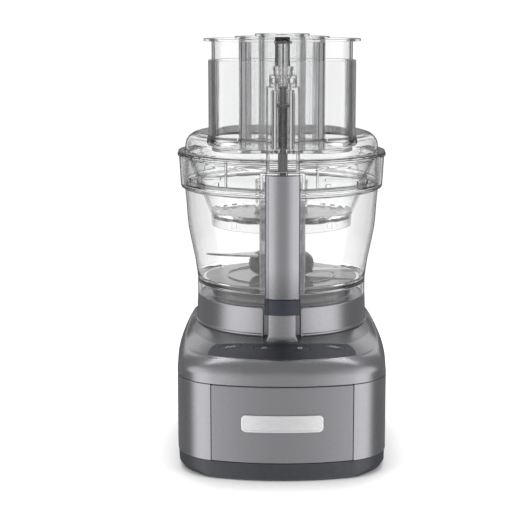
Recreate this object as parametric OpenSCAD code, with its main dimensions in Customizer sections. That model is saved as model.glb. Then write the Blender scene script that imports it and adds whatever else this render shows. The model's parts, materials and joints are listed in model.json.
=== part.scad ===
// Food processor with a nested inner bowl, a wide feed tube with three
// nested pushers, and a belt drive under the bowl.
// Millimetres, +Z up. The bowl axis stands at [0, axis_y]; the origin is the
// centre of the footprint, on the surface the feet stand on.

/* [Base] */
// Width of the base at its widest point
base_w = 204.4; // [200.4:0.5:204.4]
// Distance from the bowl axis to the front of the base
base_front = 142; // [140:1:145]
// Distance from the bowl axis to the back of the base
base_back = 118; // [116:1:122]
// Wall of the moulded covers
wall = 3; // [2.6:0.1:3.2]
// Height of the rubber feet below the base tray
foot_h = 1; // [0.8:0.1:1.4]
// Half the width of the loose front panel
panel_half = 66; // [62:1:70]
// Length of the name plate
plate_l = 75.5; // [60:0.5:90]
// Height of the name plate
plate_h = 16.2; // [12:0.2:20]

/* [Bowl] */
// Radius of the flange around the bowl's rim
rim_r = 102.5; // [102.1:0.1:103]
// Wall of the clear bowls, the lid and the pushers
clear_t = 2.4; // [2.2:0.1:2.6]
// Turn of the bowl between locked and free
bowl_turn = 24; // [22:1:26]

/* [Feed tube] */
// Outer width of the feed tube
feed_w = 140; // [138:1:142]
// Outer depth of the feed tube
feed_d = 70; // [69:0.5:71]
// Distance from the bowl axis to the middle of the feed tube
feed_y = 44; // [43:0.5:45]
// Height of the feed tube's mouth
feed_z = 383.5; // [380:0.5:384]

/* [Blade] */
// Radius swept by the blade tips
blade_r = 76; // [70:1:77]
// Thickness of the blades
blade_t = 1.8; // [1.4:0.1:2]

/* [Drive] */
// Radius of the motor shaft's small pulley
pulley_small = 9; // [8:0.5:10]
// Radius of the drive shaft's large pulley
pulley_large = 50; // [46:1:51]
// Distance from the bowl axis to the motor axis
motor_y = 74; // [73:0.5:75]

/* [Controls] */
// Travel of each button
key_travel = 0.6; // [0.4:0.1:0.7]
// Width of each button
key_w = 20; // [16:1:24]
// Depth of each button
key_d = 10; // [8:0.5:11]

/* [Hidden] */
$fn = 72;
axis_y = (base_front + 1.2 - base_back) / 2;

seam_z = 90.2;      // joint between lower housing and top cover
tray_z = 17;        // top of the base tray
ridge_z = 113.4;    // ridge around the front of the deck
ridge_back_z = 118.4; // the ridge rises towards the back
ridge_f = 134.5;    // distance from the bowl axis to the ridge at the front
foot_z = 124;       // foot of the bowl seat
foot_r = 84.6;
seat_z = 151.6;       // top of the bowl seat
seat_r = 83;
floor_z = 168;      // inside floor of the work bowl
shaft_r = 6;
rod_y = -124;       // axis of the two interlock rods
pin_y = -86.8;      // axis of the switch plunger
deck_tilt = atan2(foot_z - ridge_z, ridge_f - foot_r);
pad_y = -103.2;      // middle of the contact pad under the buttons
keys = [[-48.8, -99.5], [-16.7, -107.5], [16.7, -107.5], [48.8, -99.5]];
key_low = [-7.6, -4.6, -4.6, -7.6];  // undersides of the buttons below the deck plane
feet = [[-72, -98], [72, -98], [-72, 84], [72, 84]];
tray_screws = [[-84, -60], [84, -60], [-84, 60], [84, 60]];
rack_legs = [[-58, -40], [58, -40], [-56, 78], [56, 78]];

gun = [0.50, 0.50, 0.52];
slate = [0.24, 0.26, 0.31];
clear = [0.80, 0.83, 0.85, 0.35];
steel = [0.72, 0.72, 0.74];
black = [0.12, 0.12, 0.13];

// ---- outlines -------------------------------------------------------------

// Points along an arc, last point left out
function arc(c, r, a, b, n) =
    [for (i = [0:n - 1]) [c[0] + r * cos(a + (b - a) * i / n), c[1] + r * sin(a + (b - a) * i / n)]];
// One crossing of two circles
function cross2(p, r, q, s, sg) =
    let (d = norm(q - p), a = (r * r - s * s + d * d) / (2 * d), h = sqrt(r * r - a * a), u = (q - p) / d)
    p + a * u + sg * h * [-u[1], u[0]];
function dir(p, q) = atan2(q[1] - p[1], q[0] - p[0]);
function flip(pts) = [for (i = [len(pts) - 1:-1:1]) [-pts[i][0], pts[i][1]]];
// Outline of arcs that run smoothly into each other: half width a, front f,
// back b, front radius rf, corner rc, side rs, back rb, back corner rk, inset d
function oval(a, f, b, rf, rc, rs, rb, rk, d) =
    let (cf = [0, rf - f], cs = [a - rs, -12], cb = [0, b - rb],
         k1 = cross2(cf, rf - rc, cs, rs - rc, 1), k2 = cross2(cs, rs - rk, cb, rb - rk, 1),
         t1 = dir(cf, k1), t2 = dir(cs, k1), t3 = dir(cs, k2), t4 = dir(cb, k2),
         right = concat(arc(cf, rf - d, -90, t1, 7), arc(k1, rc - d, t1, t2, 9),
                        arc(cs, rs - d, t2, t3, 5), arc(k2, rk - d, t3, t4, 9),
                        arc(cb, rb - d, t4, 90, 7), [[0, b - d]]))
    concat(right, flip(right));
module plan(d = 0) polygon(oval(base_w / 2, base_front, base_back, 215, 48, 900, 330, 42, d));
module ridge(d = 0) polygon(oval(94.6, ridge_f, 108, 140, 76, 1500, 260, 45, d));
// Racetrack with round ends, wide in X
module track(w, h, n = 18)
    polygon(concat(arc([w / 2 - h / 2, 0], h / 2, -90, 90, n), [[w / 2 - h / 2, h / 2]],
                   arc([-w / 2 + h / 2, 0], h / 2, 90, 270, n), [[-w / 2 + h / 2, -h / 2]]));
module track_tube(w, h, t, z0, z1)
    translate([0, -feed_y, z0]) linear_extrude(z1 - z0) difference() { track(w, h); track(w - 2 * t, h - 2 * t); }
// Rectangle with round corners
module rounded(w, h, r, n = 5)
    polygon(concat(arc([w / 2 - r, -h / 2 + r], r, -90, 0, n), arc([w / 2 - r, h / 2 - r], r, 0, 90, n),
                   arc([-w / 2 + r, h / 2 - r], r, 90, 180, n), arc([-w / 2 + r, -h / 2 + r], r, 180, 270, n)));
// Closed path around the two pulleys, grown by g
function belt_path(g) =
    let (r1 = pulley_large + g, r2 = pulley_small + g, a = acos((r1 - r2) / motor_y))
    concat(arc([0, 0], r1, 90 + a, 450 - a, 48), [[r1 * sin(a), r1 * cos(a)]],
           arc([0, motor_y], r2, 90 - a, 90 + a, 16), [[-r2 * sin(a), motor_y + r2 * cos(a)]]);
module ring(ro, ri, z0, z1) translate([0, 0, z0]) difference() {
    cylinder(r = ro, h = z1 - z0);
    translate([0, 0, -1]) cylinder(r = ri, h = z1 - z0 + 2);
}
// Sector of a ring, w degrees wide about angle a
module sector(ro, ri, z0, z1, a, w) intersection() {
    ring(ro, ri, z0, z1);
    rotate([0, 0, a]) translate([0, 0, z0 - 1]) linear_extrude(z1 - z0 + 2)
        polygon([[0, 0], [2 * ro * cos(w / 2), -2 * ro * sin(w / 2)], [2 * ro * cos(w / 2), 2 * ro * sin(w / 2)]]);
}

// ---- base -----------------------------------------------------------------

module lower_housing() color(gun) difference() {
    union() {
        translate([0, 0, tray_z + 0.2]) linear_extrude(seam_z - tray_z - 0.2) difference() { plan(); plan(wall); }
        // thicker wall behind the loose front panel
        translate([0, 0, tray_z + 0.2]) linear_extrude(seam_z - tray_z - 0.2) intersection() {
            difference() { plan(2); plan(5.4); }
            translate([-74, -150]) square([148, 60]);
        }
    }
    translate([0, 0, tray_z - 1]) linear_extrude(seam_z - tray_z + 2) intersection() {
        difference() { plan(-4); plan(2.6); }
        translate([-panel_half - 0.4, -150]) square([2 * panel_half + 0.8, 60]);
    }
    // cord hole and its flat seat
    translate([-45, base_back + 2, 40]) rotate([90, 0, 0]) cylinder(r = 7, h = 20);
    translate([-45, base_back + 2, 40]) rotate([90, 0, 0]) cylinder(r = 10.4, h = 6.7);
    // air slots at the back
    for (i = [-3:3]) translate([20 + i * 7, base_back - 14, 34]) cube([3, 20, 26]);
}

module front_panel() color(gun) translate([0, 0, tray_z + 0.4]) linear_extrude(seam_z - tray_z - 0.8)
    intersection() {
        difference() { plan(0.1); plan(2.5); }
        translate([-panel_half, -150]) square([2 * panel_half, 60]);
    }

module name_plate() color(steel) intersection() {
    translate([0, -base_front + 8, 55.3]) rotate([90, 0, 0]) linear_extrude(12) rounded(plate_l, plate_h, 4.2, 6);
    translate([0, 215 - base_front, 40]) difference() {
        cylinder(r = 216.2, h = 30, $fn = 180);
        translate([0, 0, -1]) cylinder(r = 214.95, h = 32, $fn = 180);
    }
}

module base_tray() color(slate) difference() {
    union() {
        difference() {
            hull() {
                translate([0, 0, tray_z - 0.5]) linear_extrude(0.5) plan(0.7);
                translate([0, 0, 5]) linear_extrude(0.5) plan(1.4);
                translate([0, 0, foot_h]) linear_extrude(0.5) plan(3.6);
            }
            translate([0, 0, foot_h + 3]) linear_extrude(30) plan(8);
        }
        for (p = tray_screws) translate([p[0], p[1], foot_h + 2]) cylinder(r = 5, h = tray_z - foot_h - 2);
        for (p = rack_legs) translate([p[0], p[1], foot_h + 2]) cylinder(r = 6, h = 8 - foot_h);
    }
    for (p = feet) translate([p[0], p[1], foot_h - 1]) cylinder(r = 9.2, h = 2.5);
    for (p = tray_screws) translate([p[0], p[1], 0]) { cylinder(r = 4.2, h = 10); cylinder(r = 1.9, h = 30); }
    for (p = rack_legs) translate([p[0], p[1], 0]) { cylinder(r = 3.3, h = foot_h + 2.2); cylinder(r = 1.6, h = 30); }
    for (i = [-4:4]) translate([i * 9 - 1.5, 52, 0]) cube([3, 34, 12]);
}

module rubber_feet() color(black) for (p = feet) translate([p[0], p[1], 0]) union() {
    cylinder(r = 9, h = foot_h + 1.45);
}

module screw(l, r, hr, hh) { cylinder(r = hr, h = hh); translate([0, 0, hh - 0.01]) cylinder(r = r, h = l); }
module tray_screws() color(steel) for (p = tray_screws) translate([p[0], p[1], 8 - 1.2]) difference() {
    screw(9, 1.7, 3.8, 3.1);
    translate([-2.4, -0.5, -1]) cube([4.8, 1, 2]);
    translate([-0.5, -2.4, -1]) cube([1, 4.8, 2]);
}

// Solid under the deck: seam outline, shoulder, ridge and the foot of the seat
module deck_body(d, dz) hull() {
    translate([0, 0, seam_z + 0.3 - (d > 0 ? 1 : 0)]) linear_extrude(6) plan(0.5 + d);
    for (s = [[97, 0.9], [103, 2.3], [108, 4.5]]) translate([0, 0, s[0] - dz]) linear_extrude(0.4) plan(s[1] + d);
    translate([0, 0, ridge_z - 0.4 - dz]) linear_extrude(0.4) ridge(d);
    translate([0, 0, ridge_back_z - 0.4 - dz]) linear_extrude(0.4) intersection() {
        ridge(d);
        translate([-120, 74]) square([240, 80]);
    }
    translate([0, 0, foot_z - 0.4 - dz]) cylinder(r = foot_r + 0.8 - d, h = 0.4);
}
// Outline of the control panel on the deck, seen from above
module lens(g = 0) difference() {
    intersection() {
        ridge(2 - g);
        translate([-64 - g, -140]) square([128 + 2 * g, 60]);
    }
    translate([0, 80.7]) circle(r = 180 - g, $fn = 144);
}
// Prism square to the deck at key i
module key_prism(i, g, z0, z1)
    translate([keys[i][0], keys[i][1], deck_z(keys[i][1])]) rotate([deck_tilt, 0, 0])
        translate([0, 0, z0]) linear_extrude(z1 - z0) rounded(key_w + 2 * g, key_d + 2 * g, 3 + g);
function deck_z(y) = foot_z - (-y - foot_r) * tan(deck_tilt);

module seat_profile() polygon([[foot_r, 122], [foot_r, foot_z + 0.6], [foot_r + 1, foot_z + 1.2], [foot_r + 1, foot_z + 2.2],
    [foot_r - 0.3, foot_z + 3.2], [seat_r, seat_z], [70.4, seat_z], [69, seat_z + 1.4], [69, 159], [17, 159], [17, 163],
    [11.02, 163], [11.02, 152], [8, 152], [8, 149], [14, 149], [14, 156], [66, 156], [66, seat_z - 3.2], [80.1, seat_z - 3.2], [81.3, 122]]);

module top_cover() color(gun) { cover_shell(); switch_post(); }
module cover_shell() difference() {
    deck_body(0, 0);
    deck_body(wall, wall);
    // the bowl seat stands in this hole
    translate([0, 0, 100]) cylinder(r = foot_r + 0.1, h = 40);
    // room for the foot of the post
    translate([-12.6, -93.3, 110]) cube([25.2, 13.8, 20]);
    // control panel opening
    translate([0, 0, 90]) linear_extrude(50) lens(0.15);
}
module bowl_seat() color(gun) difference() {
    union() {
        rotate_extrude() seat_profile();
        // three lugs that hold the bowl down
        for (a = [30, 150, 270]) sector(76, 68.8, 155.2, 158.6, a, 20);
        // pocket wall behind the switch post
        translate([-19.6, -79.5, 118]) cube([39.2, 3, seat_z - 118]);
        for (s = [-1, 1]) {
            translate([s * 18.6 - 1, -84.6, foot_z + 0.1]) cube([2, 8, seat_z - foot_z - 0.3]);
            translate([s * 18.6 - 1, -81.8, 118]) cube([2, 3.8, 10]);
        }
    }
    // recess around the post
    translate([-17.6, -100, foot_z - 0.3]) cube([35.2, 20.5, 40]);
    translate([-13.5, -100, 110]) cube([27, 20.5, 20]);
    // lead-in for the drive shaft
    translate([0, 0, 140]) cylinder(r = 7.4, h = 30);
}

module switch_post() difference() {
    union() {
        translate([-13.3, -94, foot_z - 2.4]) cube([26.6, 14.4, 148 - foot_z + 2.4]);
        translate([-13.3, -94, 118]) cube([26.6, 14.4, 8]);
    }
    translate([0, pin_y, 110]) cylinder(r = 3.5, h = 60);
    translate([0, pin_y, 110]) cylinder(r = 5.4, h = 25.2);
}

module control_panel() color(slate) difference() {
    intersection() {
        difference() { deck_body(0, 0); deck_body(wall, wall); }
        translate([0, 0, 90]) linear_extrude(50) lens(0);
    }
    for (i = [0:3]) key_prism(i, 0.3, -12, 12);
}

module key(i) color(slate) intersection() {
    deck_body(0, 0);
    key_prism(i, 0, key_low[i], 12);
    translate([0, 0, 90]) linear_extrude(50) lens(-0.4);
}

module on_deck(z) translate([0, pad_y, deck_z(pad_y)]) rotate([deck_tilt, 0, 0]) translate([0, 0, z]) children();

module button_pad() color(black) on_deck(-12.4) difference() {
    union() {
        translate([-60, -12, 0]) cube([120, 23, 1.6]);
        for (i = [0:3]) translate([keys[i][0], (keys[i][1] - pad_y) / cos(deck_tilt), 0]) cylinder(r = 3.2, h = key_low[i] + 12.4 - 1);
    }
    for (x = [-32, 0, 32]) translate([x, -5, -1]) cylinder(r = 1.3, h = 6);
    // room for the carrier of the interlock switch
    translate([-16, 5.4, -1]) cube([32, 10, 6]);
}

module control_board() color([0.1, 0.35, 0.2]) on_deck(-14.1) difference() {
    union() {
        translate([-60, -12, 0]) cube([120, 23, 1.6]);
        translate([-40, -4, -5]) cube([14, 9, 5.1]);
        translate([18, -3, -7]) cube([10, 10, 7.1]);
        translate([38, 0, -8]) cylinder(r = 4, h = 8.1);
    }
    for (x = [-32, 0, 32]) translate([x, -5, -1]) cylinder(r = 1.3, h = 6);
    translate([-16, 5.4, -1]) cube([32, 10, 6]);
}

module interlock_switch() color(black) union() {
    difference() {
        translate([-10, pin_y - 5, 97]) cube([20, 10, 12.6]);
        for (s = [-1, 1]) translate([s * 6, pin_y + 10, 101]) rotate([90, 0, 0]) cylinder(r = 1.5, h = 20);
    }
    for (x = [-7, 0, 7]) translate([x - 0.4, pin_y - 2, 91]) cube([0.8, 4, 6.1]);
    // carrier that closes the post from below and seats the plunger's spring
    difference() {
        union() {
            translate([-13.3, pin_y - 5.6, 115]) cube([26.6, 11.2, 2.9]);
            for (s = [-1, 1]) translate([s * 11.6 - 1.7, pin_y - 3.4, 99]) cube([3.4, 6.8, 17]);
        }
        translate([0, pin_y, 110]) cylinder(r = 3.5, h = 20);
    }
}

module switch_plunger() color([0.9, 0.9, 0.9]) translate([0, pin_y, 0]) union() {
    translate([0, 0, 113.2]) cylinder(r = 3.2, h = 152 - 113.2);
    translate([0, 0, 133]) cylinder(r = 5.05, h = 2);
}
module coil_tube(ri, ro, z0, z1) ring(ro, ri, z0, z1);
module plunger_spring() color(steel) translate([0, pin_y, 0]) coil_tube(3.5, 4.7, 118, 132.95);

// ---- drive ----------------------------------------------------------------

module motor_bracket() color(steel) difference() {
    union() {
        translate([0, 0, 30]) linear_extrude(4) difference() {
            polygon([[-68, -52], [68, -52], [68, 70], [50, 98], [-50, 98], [-68, 70]]);
            translate([0, motor_y]) circle(r = 14);
        }
        translate([0, 0, 30]) cylinder(r = 17, h = 33);
        for (p = rack_legs) translate([p[0], p[1], 10.1]) cylinder(r = 6, h = 20);
        for (a = [45:90:315]) rotate([0, 0, a]) translate([14, -2, 33]) cube([16, 4, 14]);
    }
    translate([0, 0, 20]) cylinder(r = 8, h = 60);
    translate([0, 0, 51]) cylinder(r = 11.02, h = 30);
    for (p = rack_legs) translate([p[0], p[1], 0]) cylinder(r = 1.6, h = 25);
    for (a = [45:90:315]) translate([0, motor_y, 20]) rotate([0, 0, a]) translate([24, 0, 0]) cylinder(r = 2.2, h = 20);
}
module bracket_screws() color(steel) for (p = rack_legs) translate([p[0], p[1], foot_h + 0.3]) difference() {
    screw(15, 1.5, 3, 1.8);
    translate([-2, -0.4, -1]) cube([4, 0.8, 1.8]);
    translate([-0.4, -2, -1]) cube([0.8, 4, 1.8]);
}

module motor_housing() color([0.55, 0.56, 0.58]) translate([0, motor_y, 0]) difference() {
    translate([0, 0, 34.1]) cylinder(r = 33, h = 60);
    translate([0, 0, 37.1]) cylinder(r = 30, h = 54);
    translate([0, 0, 30]) cylinder(r = 8.02, h = 80);
    for (a = [0:45:315]) rotate([0, 0, a]) translate([26, -5, 48]) cube([12, 10, 30]);
    for (a = [45:90:315]) rotate([0, 0, a]) translate([24, 0, 30]) cylinder(r = 1.8, h = 10);
}
module motor_bearings() color(steel) translate([0, motor_y, 0]) { ring(8, 4.05, 34.2, 39); ring(8, 4.05, 89.2, 94); }
module motor_rotor() color([0.65, 0.45, 0.3]) translate([0, motor_y, 0]) union() {
    translate([0, 0, 11]) cylinder(r = 4, h = 85);
    translate([0, 0, 50]) difference() {
        cylinder(r = 25, h = 30);
        for (a = [0:30:330]) rotate([0, 0, a]) translate([21, -1.2, -1]) cube([6, 2.4, 32]);
    }
    translate([0, 0, 80]) cylinder(r = 12, h = 7);
}
module cooling_fan() color(black) translate([0, motor_y, 0]) difference() {
    union() {
        translate([0, 0, 40]) cylinder(r = 27, h = 1.5);
        translate([0, 0, 40]) cylinder(r = 8, h = 8);
        for (a = [0:40:320]) rotate([0, 0, a]) translate([7, -0.7, 41]) cube([19, 1.4, 6]);
    }
    translate([0, 0, 39]) cylinder(r = 4.01, h = 10);
}
module motor_pulley() color(black) translate([0, motor_y, 0]) difference() {
    union() {
        translate([0, 0, 13]) cylinder(r = pulley_small, h = 12);
        translate([0, 0, 12]) cylinder(r = pulley_small + 2, h = 1);
        translate([0, 0, 25]) cylinder(r = pulley_small + 2, h = 1);
    }
    translate([0, 0, 10]) cylinder(r = 4.01, h = 20);
}
module drive_belt() color(black) translate([0, 0, 13.6]) linear_extrude(10.8)
    difference() { polygon(belt_path(2.4)); polygon(belt_path(0.4)); }
module drive_pulley() color(black) difference() {
    union() {
        ring(pulley_large, pulley_large - 4, 13, 25);
        ring(pulley_large + 2, pulley_large - 4, 12, 13);
        translate([0, 0, 17]) cylinder(r = pulley_large - 3.9, h = 3);
        translate([0, 0, 13]) cylinder(r = 13, h = 13);
        for (a = [0:60:300]) rotate([0, 0, a]) translate([12, -1.2, 14]) cube([pulley_large - 15.5, 2.4, 10]);
    }
    translate([0, 0, 10]) cylinder(r = 6.01, h = 20);
    for (a = [30:60:330]) rotate([0, 0, a]) translate([29, 0, 10]) cylinder(r = 8, h = 20);
}
module drive_shaft() color(steel) union() {
    translate([0, 0, 9]) cylinder(r = shaft_r, h = 213);
    ring(9.6, 5.9, 27, 29);
    ring(9.6, 5.9, 64, 66);
}
module lower_bearing() color(steel) ring(11, 6.05, 51.1, 62.9);
module upper_bearing() color(steel) ring(11, 6.05, 152.1, 162.5);

module cord_gland() color(black) translate([-45, 0, 40]) rotate([-90, 0, 0]) difference() {
    union() {
        translate([0, 0, base_back - 4.6]) cylinder(r = 10, h = 4.4);
        translate([0, 0, base_back - 12]) cylinder(r = 6.8, h = 8);
        translate([0, 0, base_back - 12]) cylinder(r = 8.4, h = 2.4);
    }
    translate([0, 0, base_back - 20]) cylinder(r = 4, h = 30);
}

// ---- blade ----------------------------------------------------------------

module blade_hub() color(black) rotate_extrude() polygon([[13.3, 170], [24, 170], [28.5, 171.6], [31.4, 174.8],
    [32.7, 179.5], [32.2, 184], [30, 187.8], [26.6, 190.4], [22.5, 191.6], [13.3, 191.6]]);
module blade_stem() color(clear) rotate_extrude() polygon([[22, 191.7], [22, 258.5], [20.5, 261.4], [17, 262.4], [0, 262.4],
    [0, 260], [17, 260], [19.6, 258], [19.6, 228], [0, 228], [0, 224], [6.02, 224], [6.02, 203.4], [13.3, 203.4], [13.3, 191.7]]);
// Sickle outline of one blade, root at the hub, tip along +X
function sickle(r) = concat(
    [for (i = [0:10]) let (t = i / 10) [20 + (r - 20) * t, -13 + 13.5 * t + 4 * sin(180 * t)]],
    [for (i = [9:-1:0]) let (t = i / 10) [20 + (r - 20) * t - 2 * t * t, 17 - 11 * t * t - 4 * t]]);
module blade(z, a, tilt) rotate([0, 0, a]) translate([0, 0, z]) rotate([0, tilt, 0]) linear_extrude(blade_t) polygon(sickle(blade_r));
module chopping_blades() color(steel) difference() {
    union() { blade(172.4, -6, 0); blade(189.4, 174, 1.6); }
    rotate_extrude() polygon([[0, 165], [24, 165], [24, 170.0], [28.5, 171.6], [31.4, 174.8], [32.7, 179.5], [32.2, 184],
        [30, 187.8], [26.6, 190.4], [22.5, 191.6], [22.5, 200], [0, 200]]);
}

// ---- bowl -----------------------------------------------------------------

module bowl_profile() polygon([[83.2, 152], [83.2, 168], [84.2, 176], [86, 188], [87.2, 193.5], [90.8, 211.4],
    [92.1, 218.5], [93.2, 230], [93.9, 241.5], [95.3, 257.4], [98.8, 258.6], [99.3, 260], [100.8, 286], [100.9, 289.5],
    [rim_r, 289.5], [rim_r, 291.5], [98.5, 291.5], [98.4, 286], [96.8, 261.4], [92.8, 260.6],
    [91.5, 241.5], [90.8, 230], [89.7, 218.5], [88.4, 211.4], [84.8, 193.5], [83.6, 188], [81.8, 176], [80.9, 171],
    [78.6, floor_z], [55, floor_z], [54.4, floor_z + 1.4], [53.2, floor_z + 1.4], [52.6, floor_z], [14.6, floor_z], [12.9, 169.6], [12.9, 202],
    [10.8, 202], [10.8, floor_z - 2.5], [79.6, floor_z - 2.5], [80.8, floor_z - 4], [80.8, 152]]);
module work_bowl() color(clear) difference() {
    union() {
        rotate_extrude($fn = 96) bowl_profile();
        for (a = [30, 150, 270]) sector(81, 72, 152.3, 154.7, a, 20);
        difference() {
            // back of the handle and the two arms that carry it
            union() {
                translate([-21, -113.9, 172]) cube([42, 3.3, 112]);
                translate([-21, -111, 262]) cube([42, 16, 22]);
                translate([-15, -111, 172.2]) cube([30, 30, 10]);
            }
            // hollow of the upper arm
            translate([-18.6, -110.6, 260]) cube([37.2, 8.6, 21.6]);
            // inside of the bowl
            translate([0, 0, 170]) cylinder(r = 82.6, h = 20);
            translate([0, 0, 260]) cylinder(r = 98, h = 26);
        }
    }
}
// Cross-section of the grip
module grip(d = 0) polygon(concat(
    arc([0, -136 + 27 ], 27 - d, -119, -61, 10),
    arc([12.2, -130.2], 4.4 - d, -61, 0, 5),
    arc([12.2, -118], 4.4 - d, 0, 60, 4), [[12.4, -114 - d]],
    [[-12.4, -114 - d]],
    arc([-12.2, -118], 4.4 - d, 120, 180, 4),
    arc([-12.2, -130.2], 4.4 - d, 180, 241, 5)));
module bowl_handle() color(gun) difference() {
    translate([0, 0, 170.3]) linear_extrude(113.9) grip();
    translate([0, rod_y, 160]) cylinder(r = 4.9, h = 100);
    translate([0, rod_y, 255]) cylinder(r = 7, h = 26.6);
    translate([0, rod_y, 250]) cylinder(r = 5.2, h = 50);
}
module handle_end_cap() color(slate) difference() {
    union() {
        translate([0, 0, 155.4]) linear_extrude(14.7) grip();
        translate([-12, -115, 155.4]) cube([24, 33, 14.7]);
    }
    translate([0, 0, 140]) cylinder(r = 83.4, h = 60);
    translate([0, rod_y, 160]) cylinder(r = 5.2, h = 20);
    // slot for the foot of the rod
    translate([-5, rod_y - 5, 157]) cube([10, pin_y - rod_y + 7.6, 11.2]);
    translate([-5, rod_y - 5, 157]) cube([10, 10, 20]);
    translate([0, pin_y, 140]) cylinder(r = 2.7, h = 20);
}
module handle_rod() color([0.85, 0.85, 0.85]) union() {
    translate([0, rod_y, 163]) cylinder(r = 3.4, h = 283.7 - 163);
    translate([0, rod_y, 276]) cylinder(r = 6.2, h = 2);
    translate([-3, rod_y - 3, 163.4]) cube([6, pin_y - rod_y + 5.2, 4.2]);
    translate([0, pin_y, 155.6]) cylinder(r = 2.2, h = 9);
}
module handle_rod_spring() color(steel) translate([0, rod_y, 0]) coil_tube(4.2, 5.8, 255.05, 275.95);

module inner_bowl() color(clear) rotate_extrude($fn = 96) polygon([[69.3, 220.5], [69.3, 231.5], [77.2, 249], [81.6, 261.3],
    [96.2, 261.6], [96.2, 263.4], [82.8, 263.4], [84.8, 269], [88, 277], [90.6, 283], [91.8, 287], [89.6, 287], [88.2, 283],
    [85.6, 277], [82.4, 269], [79.6, 262], [75, 250], [69.4, 236.6], [64.6, 232.4], [61.6, 231.6], [28.5, 231.6], [26.2, 234], [26.2, 264], [24.2, 264],
    [24.2, 229.2], [66.2, 229.2], [67, 228.4], [67, 220.5]]);

// ---- lid and pushers ------------------------------------------------------

module lid() color(clear) {
    difference() {
        rotate_extrude($fn = 96) polygon([[96.1, 266], [96.1, 291.7], [101.8, 291.7], [101.8, 293.9], [95.6, 293.9], [94.6, 295],
            [94.6, 300], [93.6, 304], [91, 307.8], [87, 310.8], [82, 312.4], [0, 312.4], [0, 310], [81.5, 310], [85.6, 308.7],
            [89, 306.2], [91.4, 303], [92.2, 299.6], [92.2, 294.4], [93.8, 291], [93.8, 266]]);
        translate([0, -feed_y, 300]) linear_extrude(30) track(feed_w + 0.1, feed_d + 0.1);
    }
}
module feed_tube() color(clear) track_tube(feed_w, feed_d, 2.6, 303, feed_z);

module interlock_housing() color(clear) difference() {
    union() {
        translate([-15.1, -137.6, 284.6]) cube([30.2, 27.6, 78.4]);
        translate([-12.3, -135, 362.9]) cube([24.6, 23, 10.3]);
        translate([0, rod_y, 372]) cylinder(r = 8.7, h = 6);
        translate([0, rod_y, 377.5]) cylinder(r = 9.3, h = 3.5);
        // two webs to the lid and the feed tube
        for (s = [-1, 1]) translate([s * 10 - 1.1, -111, 294]) cube([2.2, 32 + (44 - feed_y) - (70 - feed_d) / 2, 62]);
    }
    // outline of the dome under the webs
    rotate_extrude($fn = 96) polygon([[0, 285], [96.3, 285], [96.3, 293.7], [95.8, 294], [94.8, 295.1], [94.8, 300.05],
        [93.8, 304.1], [91.2, 308], [87.1, 311], [82, 312.55], [0, 312.55]]);
    translate([0, rod_y, 307]) cylinder(r = 10.2, h = 53.4);
    translate([-12.9, -135.4, 287]) cube([25.8, 23.2, 17.6]);
    translate([0, rod_y, 280]) cylinder(r = 4.9, h = 30);
    translate([0, rod_y, 340]) cylinder(r = 7.4, h = 60);
    translate([-10.3, -133, 365.4]) cube([20.6, 19, 5.6]);
}
module lid_rod() color([0.35, 0.35, 0.36]) translate([0, rod_y, 0]) union() {
    translate([0, 0, 284.5]) cylinder(r = 4.4, h = 77);
    translate([0, 0, 361.4]) cylinder(r = 6.9, h = 1.9);
    translate([0, 0, 345]) cylinder(r = 9, h = 2.5);
}
module lid_rod_spring() color(steel) translate([0, rod_y, 0]) coil_tube(4.9, 6.3, 307.05, 344.95);

module flange(w, h, z, t) translate([0, -feed_y, z]) linear_extrude(t) track(w, h);
module large_pusher() color(clear) difference() {
    union() {
        difference() {
            union() {
                translate([0, -feed_y, 297.6]) linear_extrude(105.6) track(133.4, 63.4);
                flange(148.4, 78.4, 401, 2.3);
                // tongue that carries the leg
                translate([-8, rod_y - 7, 401]) cube([16, 52, 2.3]);
            }
            translate([0, -feed_y, 300.1]) linear_extrude(120) track(129, 59);
        }
        track_tube(82.4, 55, 2.4, 297.6, 403.3);
        for (s = [-1, 1]) translate([s * 30 - 1, -feed_y - 30.5, 300]) cube([2, 4, 101]);
        for (s = [-1, 1]) translate([s * 30 - 1, -feed_y + 26.5, 300]) cube([2, 4, 101]);
        translate([0, rod_y, 386]) cylinder(r = 6.1, h = 15.1);
        translate([0, rod_y, 363.7]) cylinder(r = 4.3, h = 23);
    }
    translate([0, -feed_y, 290]) linear_extrude(120) track(77.6, 50.2);
}
module medium_pusher() color(clear) difference() {
    union() {
        difference() {
            union() {
                translate([0, -feed_y, 297]) linear_extrude(107) track(76.4, 49);
                flange(89.6, 62.2, 403.5, 1.9);
            }
            translate([0, -feed_y, 299.4]) linear_extrude(120) track(72, 44.6);
        }
        translate([0, -feed_y, 0]) ring(22.32, 20.3, 297, 405.4);
    }
    translate([0, -feed_y, 290]) cylinder(r = 20.3, h = 130);
}
module small_pusher() color(clear) translate([0, -feed_y, 0]) rotate_extrude() polygon([[0, 296.4], [19.8, 296.4], [19.8, 405.7],
    [25.8, 405.7], [25.8, 407.3], [25.2, 407.8], [17.6, 407.8], [17.6, 299], [0, 299]]);

// ---- assembly -------------------------------------------------------------

module place() translate([0, axis_y, 0]) children();

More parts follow.
